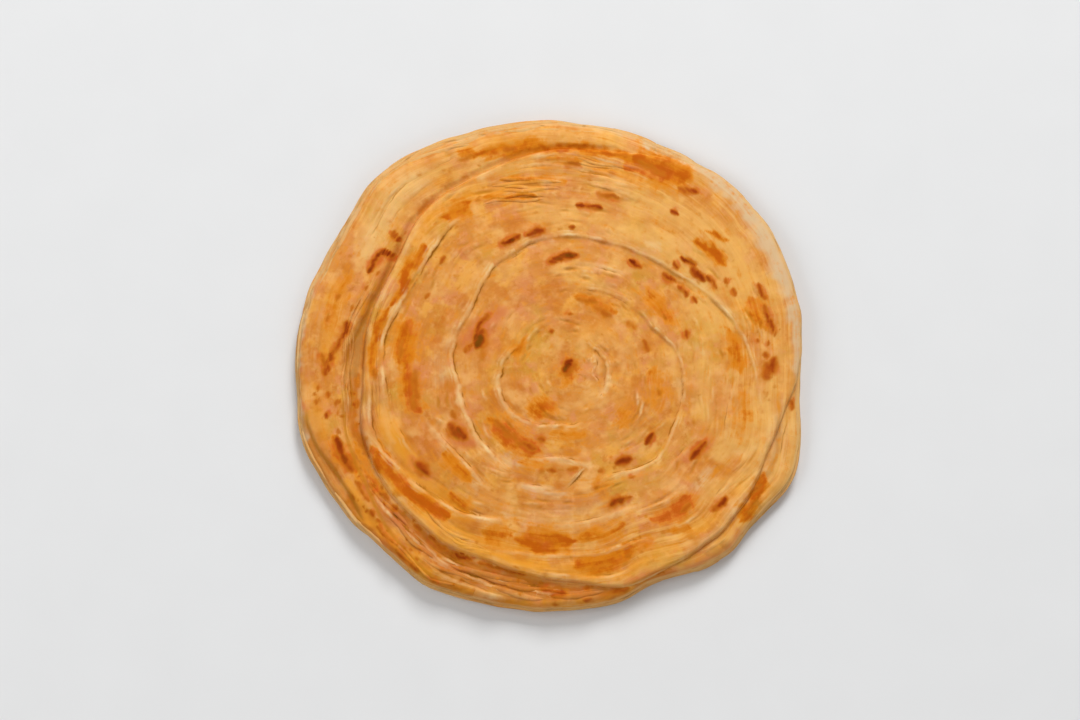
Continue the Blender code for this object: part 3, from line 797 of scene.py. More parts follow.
def ragged(x, y, size, amount, seed):
    # the plan pushed about a little, so that painted edges come out uneven
    newX = x + amount * (doughNoise(x, y, size, seed) + 0.6 * doughNoise(x, y, size * 0.45, seed + 1))
    newY = y + amount * (doughNoise(x, y, size, seed + 2) + 0.6 * doughNoise(x, y, size * 0.45, seed + 3))
    return newX, newY


# what is painted on the dough: marks, how ragged (size, amount, seed), and how soft, wider and blunt
paintRules = {
    "wash": (orangeWashes, (5.0, 1.3, 31), (1.25, 0.0, 0.3)),
    "brown": (blotchesOf(brownMarks, 33), (2.6, 0.35, 35), (1.0, 0.12)),
    "freckled": (freckles, (2.0, 0.4, 37), (1.2,)),
    "halo": (brownMarks, (3.4, 0.9, 39), (1.0, 1.1)),
    "pale": (palePatches, (5.0, 0.9, 43), (1.1, 0.5)),
    "rose": (roseTints, (5.0, 1.2, 47), ()),
    "hollowShade": (hollowShadeTints, (3.0, 0.6, 51), ()),
    "gold": (goldTints, (5.0, 1.2, 55), ()),
    "umber": (umberTints, (4.0, 0.9, 67), (1.15,)),
    "litYellow": (litYellowTints, (6.0, 1.2, 71), ()),
    "dry": (dryTints, (4.0, 1.4, 73), (1.55,)),
}


def paintCoats(points, traces):
    # four layers of colour with four channels each, and the way along the turns, at each point
    x, y = points[:, 0], points[:, 1]
    bearing, reach = bearingReachOf(x, y)
    lipsAndHighlights, creaseShade, gap, cut, bold, wall = traces.T
    paint = {}
    for title, (marks, rough, edge) in paintRules.items():
        paint[title] = paintMarks(marks, *ragged(x, y, *rough), *edge)
    bare = 1 - 0.75 * wall
    brown = np.maximum(paint["brown"], 0.8 * paint["freckled"])
    unbrowned = 1 - 0.8 * np.clip(brown, 0, 1)
    # pale patches, and the pale lips with their painted highlight
    pale = np.maximum(0.85 * paint["pale"], 0.75 * np.clip(lipsAndHighlights, 0, 1)) * unbrowned
    brown *= 1 - 0.85 * wall
    bold = bold * (1 - 0.8 * np.clip(brown, 0, 1))
    litYellow = paint["litYellow"] * (1 - 0.6 * paint["wash"])
    smooth = easing((bearing - 138) / 14) * easing((212 - bearing) / 12) * easing((reach - 73) / 3)
    drawnOut = easing((reach - 56) / 14) * (0.75 + 0.35 * doughNoise(x, y, 14.0, 59)) + 0.2
    return {
        "bake": np.stack([paint["wash"] * bare, paint["gold"], pale, paint["dry"]], axis=1),
        "tone": np.stack([paint["rose"], paint["hollowShade"], paint["umber"], litYellow], axis=1),
        "spots": np.stack([brown, paint["halo"] * bare, drawnOut * (1 - 0.75 * smooth), wall], axis=1),
        # the last channel is the painted shade of the creases
        "folds": np.stack([gap, cut, bold, np.clip(creaseShade, 0, 1)], axis=1),
        "way": wayOf(bearing, reach, points[:, 2]),
    }


def wayOf(bearing, reach, height):
    # a place that changes slowly along the turns and fast across them
    turn = np.radians(bearing)
    return np.stack([3.0 * np.cos(turn), 3.0 * np.sin(turn), (reach - 1.4 * height) / 1.6], axis=1)


def joinRings(rings, topPole, lowPole):
    # a closed skin over rings of equal, doubled or halved counts, from the middle of the top
    # round the rim to the middle below
    faces = []
    starts = np.cumsum([0] + [len(ring) for ring in rings])
    points = np.concatenate(rings)
    poles = [len(points), len(points) + 1]
    points = np.concatenate([points, [topPole, lowPole]])
    for k in range(len(rings) - 1):
        a, b = len(rings[k]), len(rings[k + 1])
        ia, ib = starts[k], starts[k + 1]
        j = np.arange(min(a, b))
        n = (j + 1) % min(a, b)
        middle = 2 * j + 1
        beyond = (2 * j + 2) % max(a, b)
        if a == b:
            joined = ((ia + j, ib + j, ib + n, ia + n),)
        elif b == 2 * a:
            joined = (
                (ia + j, ib + 2 * j, ib + middle), (ia + j, ib + middle, ia + n),
                (ia + n, ib + middle, ib + beyond),
            )
        else:
            joined = (
                (ia + 2 * j, ib + j, ia + middle), (ia + middle, ib + j, ib + n),
                (ia + middle, ib + n, ia + beyond),
            )
        for corners in joined:
            faces += np.stack(corners, axis=1).tolist()
    first, last = len(rings[0]), len(rings[-1])
    end = starts[-2]
    faces += [[poles[0], j, (j + 1) % first] for j in range(first)]
    faces += [[end + j, poles[1], end + (j + 1) % last] for j in range(last)]
    return points, faces


def coatMesh(data, coats):
    for title, layer in coats.items():
        if title == "way":
            attribute, channels = data.attributes.new(title, "FLOAT_VECTOR", "POINT"), "vector"
        else:
            attribute, channels = data.color_attributes.new(title, "FLOAT_COLOR", "POINT"), "color"
        attribute.data.foreach_set(channels, layer.astype(np.float32).ravel())


def makePiece(name, points, faces, coats, material):
    data = bpy.data.meshes.new(name)
    data.from_pydata((points * mm).tolist(), [], faces)
    coatMesh(data, coats)
    data.shade_smooth()
    data.materials.append(material)
    piece = bpy.data.objects.new(name, data)
    bpy.context.scene.collection.objects.link(piece)
    return piece


def bearingsOf(count):
    return np.arange(count) * 360.0 / count


def ringAt(bearing, reach, height):
    # one ring of points
    x, y = planOf(bearing, reach)
    return np.stack([x, y, height + 0 * x], axis=1)


def ringsOf(x, y, z):
    # arrays of bearings by rows, as one ring of points for each row
    return [np.stack([x[:, k], y[:, k], z[:, k]], axis=1) for k in range(x.shape[1])]


def tracesOf(traces):
    # one array of traces for each row of points, none of it wall
    noWall = np.zeros((len(traces), 1))
    return [np.concatenate([traces[:, k], noWall], axis=1) for k in range(traces.shape[1])]


def tracesDown(atEdge, turned):
    # traces of the row above fading down a side wall
    marks = np.zeros((len(atEdge), 6))
    marks[:, :5] = atEdge
    marks[:, [0, 1, 3, 4]] *= 1 - turned
    marks[:, 5] = turned
    return marks


def makeUpperTurns(material):
    rings, marks = [], []
    for start, stop, count, rows in upper["zones"]:
        bearing = bearingsOf(count)
        edge = aroundValue(edgeLine, bearing)
        roll = aroundValue(rollLine, bearing)
        part = start + (np.arange(rows) + 1) * (stop - start) / rows
        reach = (edge - roll)[:, None] * part[None, :]
        height, traces = upperTop(bearing, reach)
        # the disc has a pale lip with a painted highlight wherever it ends in a step
        stepped = easing((88.2 - edge) / 2.5)
        inward = (edge - roll)[:, None] - reach
        lip = (stepped * (0.5 + 0.35 * roundNoise(bearing, 15, 81)))[:, None] * ridge(inward, 0.4, 1.2)
        traces[..., 0] = np.maximum(traces[..., 0], lip)
        swell = 0.12 + 0.13 * steepPart(bearing)
        height += (swell * stepped)[:, None] * ridge(inward, 0.8, 1.6)
        x, y = planOf(bearing[:, None], reach)
        rings += ringsOf(x, y, height)
        marks += tracesOf(traces)
    topHeight, atEdge = height[:, -1], traces[:, -1]
    rolled = sum(len(ring) for ring in rings)
    for row in range(1, upper["rollRows"] + 1):
        degrees = upper["rollAngle"] * row / upper["rollRows"]
        out, up = math.sin(math.radians(degrees)), math.cos(math.radians(degrees))
        drop = (up - upper["rollEnd"]) / (1 - upper["rollEnd"])
        height = upper["underHeight"] + (topHeight - upper["underHeight"]) * drop
        turned = easing((degrees - 35) / 35)
        reach = edge - roll * (1 - out) + upper["leafDepth"] * laminations(bearing, height, 7) * turned
        rings.append(ringAt(bearing, reach, height))
        down = tracesDown(atEdge, turned)
        # painted shade on the underside of the rolled edge, where it steps down
        down[:, 1] = np.maximum(down[:, 1], 0.45 * easing((degrees - 75) / 40) * stepped)
        down[:, 5] *= 1 - 0.7 * stepped
        marks.append(down)
    for part, count in upper["hiddenRings"]:
        bearing = bearingsOf(count)
        rings.append(ringAt(bearing, part * (aroundValue(edgeLine, bearing) - 1), upper["underHeight"]))
        marks.append(np.zeros((count, 6)))
    eyeX, eyeY = planOf(0.0, 0.0)
    top = (eyeX, eyeY, rings[0][:, 2].mean())
    points, faces = joinRings(rings, top, (eyeX, eyeY, upper["underHeight"]))
    coats = paintCoats(points, np.concatenate(marks + [np.zeros((2, 6))]))
    coats["spots"][rolled:, :2] *= 0.3
    # the browned places are low blisters
    onTop = points[:, 2] > 8.0
    points[onTop, 2] += upper["blister"] * np.clip(coats["spots"][onTop, 0], 0, 1)
    return makePiece("upperTurns", points, faces, coats, material)


underside = {
    "turn": 13.0,
    "groove": 0.35,
    # reach from, reach to, points round
    "zones": ((86.0, 44.0, 400), (42.5, 22.0, 200), (20.5, 10.0, 100), (8.5, 4.0, 50)),
    "rowSpacing": 1.5,
    "spots": 120,
    "washes": 26,
    "seed": 77,
}


def undersideMarks():
    draw = np.random.default_rng(underside["seed"])
    # count, furthest, least and most of the way out, length, stray and half width of each kind
    kinds = (
        (underside["spots"], 88, (0.01, 0.92), (0, 5), 1, (0.6, 2.0)),
        (underside["washes"], 86, (0.02, 0.95), (6, 22), 2, (2, 5)),
    )
    found = []
    for count, furthest, spread, length, stray, halfWidth in kinds:
        marks = []
        for k in range(count):
            bearing, reach = draw.uniform(0, 360), furthest * math.sqrt(draw.uniform(*spread))
            long = draw.uniform(*length)
            toReach = reach + draw.uniform(-stray, stray)
            wide, strong = draw.uniform(*halfWidth), draw.uniform(0.5, 1)
            marks.append((bearing, reach, bearing + long, toReach, wide, strong))
        found.append(marks)
    return found


def undersideZone(start, stop, count):
    # rings of the flat side, from the rim inwards, with a shallow groove that follows the coil
    bearing = bearingsOf(count)
    rows = int((start - stop) / underside["rowSpacing"])
    reach = np.linspace(start, stop, rows)[None, :] + np.zeros((count, 1))
    x, y = planOf(bearing[:, None], reach)
    wound = reach - bearing[:, None] / 360.0 * underside["turn"] + 0.9 * doughNoise(x, y, 14.0, 51)
    turns = wound / underside["turn"]
    groove = ridge(np.abs(turns - np.round(turns)) * underside["turn"], 0, 1.1)
    height = np.clip(0.22 * doughNoise(x, y, 9.0, 52), 0, 1) + underside["groove"] * groove
    none = 0 * groove
    # painted shade in the groove
    traces = np.stack([0.3 * (1 - groove), 0.8 * groove, none, none, none], axis=2)
    return ringsOf(x, y, height * easing((87.5 - reach) / 3)), tracesOf(traces)


def makeLowerTurns(material):
    rings, marks = [], []
    for reach, count in lower["hiddenRings"]:
        rings.append(ringAt(bearingsOf(count), np.full(count, float(reach)), lower["hiddenLevel"]))
        marks.append(np.zeros((count, 6)))
    bearing = bearingsOf(lower["pointsRound"])
    roll = aroundValue(lower["roll"], bearing)
    rim, inner, rows = disc["rimReach"], lower["innerReach"], lower["wallRows"]
    reach = inner + (rim - roll - inner)[:, None] * (np.linspace(0, 1, lower["topRows"])[None, :])
    height, traces = lowerTop(bearing, reach)
    x, y = planOf(bearing[:, None], reach)
    rings += ringsOf(x, y, height)
    marks += tracesOf(traces)
    topHeight, atEdge = height[:, -1], traces[:, -1]
    quarter = [math.radians(90.0 * row / rows) for row in range(1, rows + 1)]
    for angle in quarter:
        height = lower["wallHeight"] + (topHeight - lower["wallHeight"]) * math.cos(angle)
        turned = easing((math.degrees(angle) - 30) / 35)
        leaf = lower["leafDepth"] * laminations(bearing, height, 3) * turned
        rings.append(ringAt(bearing, rim - roll * (1 - math.sin(angle)) + leaf, height))
        marks.append(tracesDown(atEdge, turned))
    for angle in quarter:
        height = np.full(len(bearing), lower["wallHeight"] * (1 - math.sin(angle)))
        leaf = lower["leafDepth"] * laminations(bearing, height, 3) * math.cos(angle)
        rings.append(ringAt(bearing, rim - lower["wallTuck"] * (1 - math.cos(angle)) + leaf, height))
        marks.append(tracesDown(0 * atEdge, math.cos(angle)))
    shown = sum(len(ring) for ring in rings)
    for start, stop, count in underside["zones"]:
        zoneRings, zoneMarks = undersideZone(start, stop, count)
        rings += zoneRings
        marks += zoneMarks
    eyeX, eyeY = planOf(0.0, 0.0)
    points, faces = joinRings(rings, (eyeX, eyeY, lower["hiddenLevel"]), (eyeX, eyeY, 0.0))
    coats = paintCoats(points, np.concatenate(marks + [np.zeros((2, 6))]))
    x, y = points[shown:, 0], points[shown:, 1]
    spots, washes = undersideMarks()
    wash = paintMarks(washes, *ragged(x, y, 5.0, 1.2, 81))
    coats["bake"][shown:] = np.stack([wash, 0 * wash + 0.4, 0 * wash + 0.15, 0 * wash], axis=1)
    coats["tone"][shown:] = np.stack([0.5 * wash, 0 * wash, 0 * wash, 0 * wash], axis=1)
    coats["spots"][shown:, 0] = paintMarks(spots, *ragged(x, y, 2.6, 0.7, 85))
    coats["spots"][shown:, 1] = paintMarks(spots, *ragged(x, y, 3.4, 0.9, 89), 1.0, 1.2)
    return makePiece("lowerTurns", points, faces, coats, material)


ribbons = {
    "spacing": 0.9,
    "sides": 8,
    "unevenness": 0.22,
    "seed": 5,
}


def ribbonTree(material):
    # turns loose paths into flattened ribbons that follow them, each point as wide as its own halfWidth
    tree = bpy.data.node_groups.new("ribbonsAlongTurns", "GeometryNodeTree")
    tree.interface.new_socket("Geometry", in_out="INPUT", socket_type="NodeSocketGeometry")
    for title in ("Spacing", "Flatness", "Unevenness", "Seed"):
        tree.interface.new_socket(title, in_out="INPUT", socket_type="NodeSocketFloat")
    tree.interface.new_socket("Sides", in_out="INPUT", socket_type="NodeSocketInt")
    tree.interface.new_socket("Geometry", in_out="OUTPUT", socket_type="NodeSocketGeometry")
    add, link = tree.nodes.new, tree.links.new
    given, made = add("NodeGroupInput"), add("NodeGroupOutput")

    path = add("GeometryNodeMeshToCurve")
    even = add("GeometryNodeResampleCurve")
    even.mode = "LENGTH"
    upright = add("GeometryNodeSetCurveNormal")
    upright.mode = "Z_UP"
    link(given.outputs["Geometry"], path.inputs["Mesh"])
    link(path.outputs["Curve"], even.inputs["Curve"])
    link(given.outputs["Spacing"], even.inputs["Length"])
    link(even.outputs["Curve"], upright.inputs["Curve"])

    # each point strays a little, by seeded noise
    stray = add("ShaderNodeTexNoise")
    stray.noise_dimensions = "4D"
    stray.inputs["Scale"].default_value = 260.0
    centred = add("ShaderNodeVectorMath")
    centred.operation = "SUBTRACT"
    centred.inputs[1].default_value = (0.5, 0.5, 0.5)
    scaled = add("ShaderNodeVectorMath")
    scaled.operation = "SCALE"
    moved = add("GeometryNodeSetPosition")
    link(given.outputs["Seed"], stray.inputs["W"])
    link(stray.outputs["Color"], centred.inputs[0])
    link(centred.outputs[0], scaled.inputs[0])
    link(given.outputs["Unevenness"], scaled.inputs["Scale"])
    link(upright.outputs["Curve"], moved.inputs["Geometry"])
    link(scaled.outputs[0], moved.inputs["Offset"])

    section = add("GeometryNodeCurvePrimitiveCircle")
    section.inputs["Radius"].default_value = 1.0
    flat = add("ShaderNodeCombineXYZ")
    flat.inputs["X"].default_value = 1.0
    flat.inputs["Z"].default_value = 1.0
    pressed = add("GeometryNodeTransform")
    link(given.outputs["Sides"], section.inputs["Resolution"])
    link(given.outputs["Flatness"], flat.inputs["Y"])
    link(section.outputs["Curve"], pressed.inputs["Geometry"])
    link(flat.outputs["Vector"], pressed.inputs["Scale"])

    width = add("GeometryNodeInputNamedAttribute")
    width.inputs["Name"].default_value = "halfWidth"
    swept = add("GeometryNodeCurveToMesh")
    swept.inputs["Fill Caps"].default_value = True
    link(moved.outputs["Geometry"], swept.inputs["Curve"])
    link(pressed.outputs["Geometry"], swept.inputs["Profile Curve"])
    link(width.outputs["Attribute"], swept.inputs["Scale"])
    smooth = add("GeometryNodeSetShadeSmooth")
    real = add("GeometryNodeRealizeInstances")
    finish = add("GeometryNodeSetMaterial")
    finish.inputs["Material"].default_value = material
    link(swept.outputs["Mesh"], smooth.inputs["Geometry"])
    link(smooth.outputs["Geometry"], real.inputs["Geometry"])
    link(real.outputs["Geometry"], finish.inputs["Geometry"])
    link(finish.outputs["Geometry"], made.inputs["Geometry"])
    return tree


def makeRibbons(name, tree, paths, flatness, coatsOf, material):
    # paths: arrays of x, y, z and half width in millimetres
    points = np.concatenate([path[:, :3] for path in paths])
    edges, first = [], 0
    for path in paths:
        edges += [(first + k, first + k + 1) for k in range(len(path) - 1)]
        first += len(path)
    data = bpy.data.meshes.new(name + "Paths")
    data.from_pydata((points * mm).tolist(), edges, [])
    widths = np.concatenate([path[:, 3] for path in paths]) * mm
    data.attributes.new("halfWidth", "FLOAT", "POINT").data.foreach_set("value", widths.astype(np.float32))
    guide = bpy.data.objects.new(name + "Paths", data)
    bpy.context.scene.collection.objects.link(guide)
    grow = guide.modifiers.new("ribbons", "NODES")
    grow.node_group = tree
    values = {
        "Spacing": ribbons["spacing"] * mm, "Flatness": flatness, "Unevenness": ribbons["unevenness"] * mm,
        "Seed": float(ribbons["seed"]), "Sides": ribbons["sides"],
    }
    for socket in tree.interface.items_tree:
        if socket.in_out == "INPUT" and socket.name in values:
            grow[socket.identifier] = values[socket.name]
    grown = bpy.data.meshes.new_from_object(guide.evaluated_get(bpy.context.evaluated_depsgraph_get()))
    guide.modifiers.remove(grow)
    bpy.data.objects.remove(guide, do_unlink=True)
    grown.name = name
    where = np.zeros(len(grown.vertices) * 3, dtype=np.float32)
    grown.vertices.foreach_get("co", where)
    coatMesh(grown, coatsOf(where.reshape(-1, 3).astype(float) / mm))
    if not grown.materials:
        grown.materials.append(material)
    piece = bpy.data.objects.new(name, grown)
    bpy.context.scene.collection.objects.link(piece)
    return piece


def ribbonPath(topOf, start, stop, fromReach, toReach, halfWidth, draw):
    # one ribbon along the turns, thin and sunk at both ends
    part = np.linspace(0, 1, max(6, int(abs(stop - start) / 1.5)))
    bearing = start + (stop - start) * part
    sway = 0.5 * np.sin(part * 6.28 * draw.uniform(0.5, 1.4) + draw.uniform(0, 6.28))
    reach = fromReach + (toReach - fromReach) * part + sway
    height = topOf(bearing, reach[:, None])[0][:, 0]
    full = np.sqrt(np.clip(4 * part * (1 - part), 0, 1))
    height += pleats["lift"] * (full - 0.6)
    x, y = planOf(bearing, reach)
    return np.stack([x, y, height, halfWidth * (0.25 + 0.75 * full)], axis=1)


# zones of raised strands: from and to bearing, reach at both ends, half depth, count, longest, half width
pleats = {
    "seed": 41,
    "flatness": 0.42,
    "lift": 0.12,
    "upperZones": (
        (87, 117, 63.5, 69, 4.2, 6, 20, 0.8), (64, 88, 74.6, 76, 1.6, 3, 16, 0.7),
        (152, 200, 65.4, 66.2, 1.6, 4, 22, 0.6), (208, 258, 72.6, 71.5, 1.6, 5, 20, 0.7),
    ),
    "lowerZones": (
        (150, 204, 72.0, 76.0, 1.1, 7, 26, 0.6), (210, 284, 79.5, 84.6, 2.8, 9, 18, 1.1),
        (226, 262, 87.0, 87.6, 0.8, 2, 16, 0.6),
    ),
}


def makePleatStrands(tree, material):
    draw = np.random.default_rng(pleats["seed"])
    paths = []
    for zones, topOf in ((pleats["upperZones"], upperTop), (pleats["lowerZones"], lowerTop)):
        for start, stop, fromReach, toReach, halfDepth, count, longest, halfWidth in zones:
            for k in range(count):
                long = longest * draw.uniform(0.5, 1.0)
                begin = draw.uniform(start, stop - long)
                across = halfDepth * (2 * (k + 0.5) / count - 1) + draw.uniform(-0.3, 0.3)
                slope = (toReach - fromReach) / (stop - start)
                middle = fromReach + slope * (begin - start) + across
                end = middle + slope * long
                wide = halfWidth * draw.uniform(0.6, 1.2)
                paths.append(ribbonPath(topOf, begin, begin + long, middle, end, wide, draw))

    def coatsOf(points):
        # the strands get some pale lip, partly painted highlight
        return paintCoats(points, np.array([[0.35, 0, 0, 0, 0, 0]] * len(points)))

    return makeRibbons("pleatStrands", tree, paths, pleats["flatness"], coatsOf, material)


# thin leaves of dough that stand out of the side wall
leaves = {
    "seed": 43,
    "flatness": 0.2,
    "count": 120,
    "halfWidth": (0.6, 1.3),
    "arc": (8.0, 36.0),
    "standOut": (-0.5, 0.0),
    "upTheWall": (0.08, 0.96),
}


def sideWall(bearing, part):
    # a place on the side of the lower turns: part is 0 at the floor, and 1 where the top begins
    top = aroundValue(lower["turnHeight"], bearing)
    height = part * (top - 0.6)
    roll = aroundValue(lower["roll"], bearing)
    rim, foot = disc["rimReach"], lower["wallHeight"]
    above = np.sqrt(np.clip(1 - np.clip((height - foot) / (top - foot), 0, 1) ** 2, 0, 1))
    below = np.sqrt(np.clip(1 - np.clip(1 - height / foot, 0, 1) ** 2, 0, 1))
    reach = np.where(height > foot, rim - roll * (1 - above), rim - lower["wallTuck"] * (1 - below))
    return reach, height


def makeRimLeaves(tree, material):
    draw = np.random.default_rng(leaves["seed"])
    paths = []
    for k in range(leaves["count"]):
        arc = draw.uniform(*leaves["arc"])
        start = draw.uniform(0, 360)
        count = max(6, int(arc / 1.5))
        along = np.linspace(0, 1, count)
        bearing = start + arc * along
        middle = draw.uniform(*leaves["upTheWall"])
        sway = 0.05 * np.sin(along * 5 + draw.uniform(0, 6))
        part = np.clip(middle + sway, 0.06, 1.0)
        reach, height = sideWall(bearing % 360.0, part)
        full = np.sqrt(np.clip(4 * along * (1 - along), 0, 1))
        x, y = planOf(bearing, reach + draw.uniform(*leaves["standOut"]))
        wide = draw.uniform(*leaves["halfWidth"]) * (0.3 + 0.7 * full)
        paths.append(np.stack([x, y, np.clip(height, 0.35, None), wide], axis=1))

    def coatsOf(points):
        return paintCoats(points, np.array([[0, 0, 0, 0, 0, 0.85]] * len(points)))

    return makeRibbons("rimLeaves", tree, paths, leaves["flatness"], coatsOf, material)


def srgb(red, green, blue):
    # a colour of 0 to 255 a channel, as the shader takes it
    linear = [((c / 255 + 0.055) / 1.055) ** 2.4 if c > 10 else c / 255 / 12.92 for c in (red, green, blue)]
    return (*linear, 1.0)


crust = {
    "tan": srgb(218, 148, 72),
    "tanDeep": srgb(207, 132, 56),
    "rosy": srgb(214, 134, 84),
    "olive": srgb(206, 148, 54),
    "yellow": srgb(231, 164, 72),
    "blush": srgb(217, 140, 88),
    "light": srgb(234, 176, 104),
    "amber": srgb(200, 116, 38),
    "streakPale": srgb(240, 184, 100),
    "streakGold": srgb(206, 130, 32),
    "gold": srgb(234, 156, 46),
    "washPale": srgb(222, 140, 42),
    "washGold": srgb(212, 122, 12),
    "washRed": srgb(208, 102, 30),
    "washDeep": srgb(186, 82, 4),
    "halo": srgb(202, 94, 28),
    "speck": srgb(196, 116, 22),
    "redBrown": srgb(168, 64, 10),
    "darkBrown": srgb(112, 30, 0),
    "oliveBrown": srgb(112, 66, 4),
    "cream": srgb(238, 202, 144),
    # warm yellow, partly painted light on the lit sides
    "litYellow": srgb(232, 178, 98),
    "umber": srgb(184, 100, 10),
    "dry": srgb(213, 183, 142),
    # painted shade colours: crease lines, hollows, valleys and the deepest shadow
    "crease": srgb(142, 84, 16),
    "rose": srgb(206, 112, 66),
    "hollowShade": srgb(176, 122, 58),
    "valley": srgb(184, 118, 22),
    "shadow": srgb(136, 80, 26),
    "wallPale": srgb(220, 174, 112),
    "roughness": (0.5, 0.7),
    "specular": 0.08,
    "gloss": (1.0, 0.75, 0.45, 1.0),
    "glow": 0.12,
    "glowDepth": 0.0012,
    "glowColours": (1.0, 0.42, 0.16),
    "leafThickness": 0.00105,
}


class Shading:
    # short calls for building one material, whose colour is laid on coat by coat
    def __init__(self, name):
        self.material = bpy.data.materials.new(name)
        self.material.use_nodes = True
        self.nodes = self.material.node_tree.nodes
        self.links = self.material.node_tree.links
        self.shader = self.nodes["Principled BSDF"]
        self.place = self.nodes.new("ShaderNodeTexCoord").outputs["Object"]
        self.colour = None

    def noise(self, scale, detail=3.0, roughness=0.5, place=None, seed=0.0):
        node = self.nodes.new("ShaderNodeTexNoise")
        node.noise_dimensions = "4D"
        settings = {"W": seed, "Scale": scale, "Detail": detail, "Roughness": roughness}
        for title, value in settings.items():
            node.inputs[title].default_value = value
        self.links.new(place or self.place, node.inputs["Vector"])
        return node.outputs["Fac"]

    def attribute(self, title):
        node = self.nodes.new("ShaderNodeAttribute")
        node.attribute_name = title
        return node

    def layers(self, title):
        node = self.attribute(title)
        split = self.nodes.new("ShaderNodeSeparateColor")
        self.links.new(node.outputs["Color"], split.inputs["Color"])
        return split.outputs["Red"], split.outputs["Green"], split.outputs["Blue"], node.outputs["Alpha"]

    def work(self, operation, *values):
        # one step of arithmetic on sockets and plain numbers
        node = self.nodes.new("ShaderNodeMath")
        node.operation = operation
        for value, socket in zip(values, node.inputs):
            if isinstance(value, float):
                socket.default_value = value
            else:
                self.links.new(value, socket)
        return node.outputs[0]

    def sum(self, first, second, factor=1.0, offset=0.0):
        # first + factor * second + offset
        total = self.work("MULTIPLY_ADD", second, factor, first)
        return self.work("ADD", total, offset) if offset else total

    def times(self, first, second, factor=1.0):
        product = self.work("MULTIPLY", first, second)
        return product if factor == 1.0 else self.work("MULTIPLY", product, factor)

    def between(self, value, low, high, start=0.0, end=1.0):
        node = self.nodes.new("ShaderNodeMapRange")
        node.interpolation_type = "SMOOTHSTEP"
        settings = {"From Min": low, "From Max": high, "To Min": start, "To Max": end}
        for title, bound in settings.items():
            node.inputs[title].default_value = bound
        self.links.new(value, node.inputs["Value"])
        return node.outputs["Result"]

    def band(self, value, middle, half, soft):
        # 1 within this half width of the middle, softly 0 beyond it
        size = self.work("ABSOLUTE", self.work("SUBTRACT", value, middle))
        return self.between(size, half + soft, half - soft)

    def leaves(self, thick):
        # 0 in the gaps between leaves of dough on a side wall, and 0.5 in the middle of one
        split = self.nodes.new("ShaderNodeSeparateXYZ")
        self.links.new(self.place, split.inputs[0])
        phase = self.sum(self.noise(26.0), split.outputs["Z"], 1 / thick)
        return self.work("PINGPONG", self.sum(phase, self.noise(26.0, seed=2.2), 2.5), 0.5)

    def blend(self, factor, under, over):
        node = self.nodes.new("ShaderNodeMix")
        node.data_type = "RGBA"
        self.links.new(factor, node.inputs["Factor"])
        for colour, socket in ((under, node.inputs[6]), (over, node.inputs[7])):
            if isinstance(colour, tuple):
                socket.default_value = colour
            else:
                self.links.new(colour, socket)
        return node.outputs[2]

    def lay(self, factor, over):
        # a named colour of the crust, or a mixed one, over what is there
        self.colour = self.blend(factor, self.colour, crust[over] if isinstance(over, str) else over)

    def coat(self, value, low, high, most, over):
        # none of the colour where the value is low, and the most of it where it is high
        self.lay(self.between(value, low, high, 0.0, most), over)

    def bump(self, height, strength, distance, under=None):
        node = self.nodes.new("ShaderNodeBump")
        node.inputs["Strength"].default_value = strength
        node.inputs["Distance"].default_value = distance
        self.links.new(height, node.inputs["Height"])
        if under:
            self.links.new(under, node.inputs["Normal"])
        return node.outputs["Normal"]


